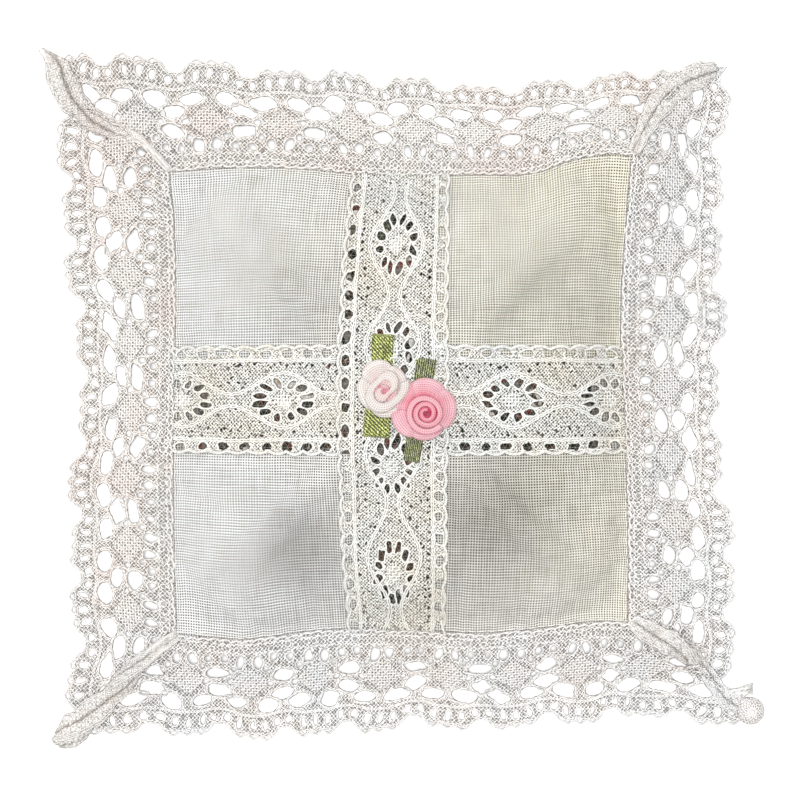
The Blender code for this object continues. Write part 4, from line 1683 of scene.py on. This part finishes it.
def studio():
    """White table, a soft light overhead and a broader one further off to the left."""
    bpy.ops.object.select_all(action="DESELECT")
    bpy.ops.mesh.primitive_plane_add(size=6, location=(0, 0, 0))
    floor = bpy.context.object
    floor.name = "white_table"
    floor.data.materials.append(floor_finish())
    world = bpy.data.worlds.new("soft_white_room")
    bpy.context.scene.world = world
    world.use_nodes = True
    sky = world.node_tree.nodes["Background"]
    sky.inputs["Color"].default_value = (1, 1, 1, 1)
    sky.inputs["Strength"].default_value = 0.21
    for name, where, size, power in (
        ("overhead_softbox", (-0.005, 0.005, 1.0), 0.2, 9.8),
        ("left_softbox", (-1.3, 1.2, 1.1), 0.5, 10.0),
    ):
        light = bpy.data.lights.new(name, "AREA")
        light.size, light.energy = size, power
        lamp = bpy.data.objects.new(name, light)
        bpy.context.scene.collection.objects.link(lamp)
        lamp.location = where
        aim = np.array(where) / np.linalg.norm(where)
        lamp.rotation_euler = (math.acos(aim[2]), 0, math.atan2(aim[0], -aim[1]))
    bpy.context.scene.view_settings.view_transform = "Standard"


def camera():
    """Straight above the middle of the front."""
    view = bpy.data.cameras.new("view_from_above")
    height = 0.6
    lace_height, seen_width = 0.004, 0.188  # the width seen at the lace's height
    view.sensor_width = 36
    view.lens = 36 * (height - lace_height) / seen_width
    eye = bpy.data.objects.new("view_from_above", view)
    bpy.context.scene.collection.objects.link(eye)
    eye.location = (-0.0002, 0, height)
    bpy.context.scene.camera = eye


def cottons():
    """The threads of the insertion, the edging, its cooler part, the sewing and the net."""
    return (
        cotton_finish("lace_cotton", "#FAFBF7", "#F8F5EC", "#F5F8F7", "#7E7972"),
        cotton_finish("edging_cotton", "#F8F5F2", "#F6EEEA", "#F3F3F2", "#625A54"),
        cotton_finish("cool_edging_cotton", "#FBFAF9", "#F9F4F1", "#F5F7F9", "#5F5B58"),
        cotton_finish("sewing_thread", "#F7F5F0", "#F3EEE6", "#F0F0EE", "#A8A299"),
        cotton_finish("nylon_tulle", "#C9C9C6", "#C4C2BD", "#C9CCCC", "#A0A0A0"),
    )


def front_linen(cover, finish, with_pieces):
    """The four squares, each running a little under the lace beside it."""
    left_x, right_x = BAND_X - BAND_HALF, BAND_X + BAND_HALF
    low_y, high_y = BAND_Y - BAND_HALF, BAND_Y + BAND_HALF
    for name, x_range, y_range in (
        ("top_left", (-HALF, left_x + 0.6), (high_y - 3.4, HALF)),
        ("top_right", (right_x - 3.4, HALF), (high_y - 3.4, HALF)),
        ("bottom_left", (-HALF, left_x + 3.4), (-HALF, low_y + 0.6)),
        ("bottom_right", (right_x - 3.4, HALF), (-HALF, low_y + 0.6)),
    ):
        linen_square(name, x_range, y_range, cover, finish)


def insertions(cover, finish):
    """The upright length, and the two level ones that run under its edges."""

    def over(x, y):
        return LACE_LIFT + 0.5 * ease((15.5 - np.abs(y - BAND_Y)) / 2.5)

    def under(x, y):
        return LACE_LIFT - 0.1 + 0 * x

    def upright(s, v):
        return BAND_X + v, s

    def level(s, v):
        return s, BAND_Y + v

    end = HALF - 0.4
    left_end, right_start = BAND_X - BAND_HALF + 0.6, BAND_X + BAND_HALF - 3.4
    rings = (37.2, 11.0, -15.0, -40.6)  # where the middles of its rings of holes lie
    insertion("vertical", -end, end, rings, 1.0, upright, over, cover, finish)
    rings = (-52.2, -27.5)
    insertion("left", -end, left_end, rings, 2.0, level, under, cover, finish)
    rings = (27.0, 50.8)
    insertion("right", right_start, end, rings, 2.0, level, under, cover, finish)


def roses():
    """Both roses in their satins, coloured from the heart outwards."""
    pink_stops = ((0.02, "#C8315C"), (0.2, "#DF6A83"), (0.45, "#E58F9D"), (0.7, "#E7A6B0"))
    white_stops = ((0.02, "#E08FA2"), (0.14, "#E2B0B6"), (0.34, "#E3C9C4"), (0.62, "#E2D4CE"))
    pink = satin_finish("pink_satin_ribbon", (*pink_stops, (1.0, "#E9B4BD")), "#F6C6CE")
    white = satin_finish("white_satin_ribbon", (*white_stops, (1.0, "#DFD9D3")), "#F7F4F0")
    pink_rose(pink)
    white_rose(white)


def leaves():
    """The light and the dark ribbon loop."""
    light = leaf_finish("light_leaf_ribbon", "#26300A", "#84902A", "#EBF096", "DIAGONAL")
    dark = leaf_finish("dark_leaf_ribbon", "#1B210F", "#626B37", "#CCD197", "X")
    for tone, finish, degrees, width, length in (
        ("light", light, 86.1, 5.6, 23.7),
        ("dark", dark, 81.6, 4.2, 24.0),
    ):
        name, node, slot = f"leaf_{tone}", f"leaf_ribbon_{tone}", f"{tone}_green_satin"
        leaf_loop(name, node, finish, math.radians(degrees), width, length)


def main():
    """The table and lights, then the pillow from its lining out to its roses."""
    camera()
    studio()
    cover = Cover()
    linen = linen_finish("handkerchief_linen", "#FCFCFC", "#FCF7E5")
    petals = petal_finish()
    cotton, edging_cotton, cool_cotton, thread, tulle_thread = cottons()
    net = tulle(cover, tulle_thread)
    front_linen(cover, linen, [net] + all_stitches(cover, thread))
    linen_back(cover, linen)
    dried_petals(cover, petals)
    filling_core(cover, petals)
    insertions(cover, cotton)
    for side in SIDES:
        edging(side, edging_cotton if side in ("top", "left") else cool_cotton)
    for corner in CORNER_ROLLS:
        corner_roll(corner, cool_cotton if corner == "bottom_right" else edging_cotton)
    end_knob(cool_cotton)
    leaves()
    roses()


main()
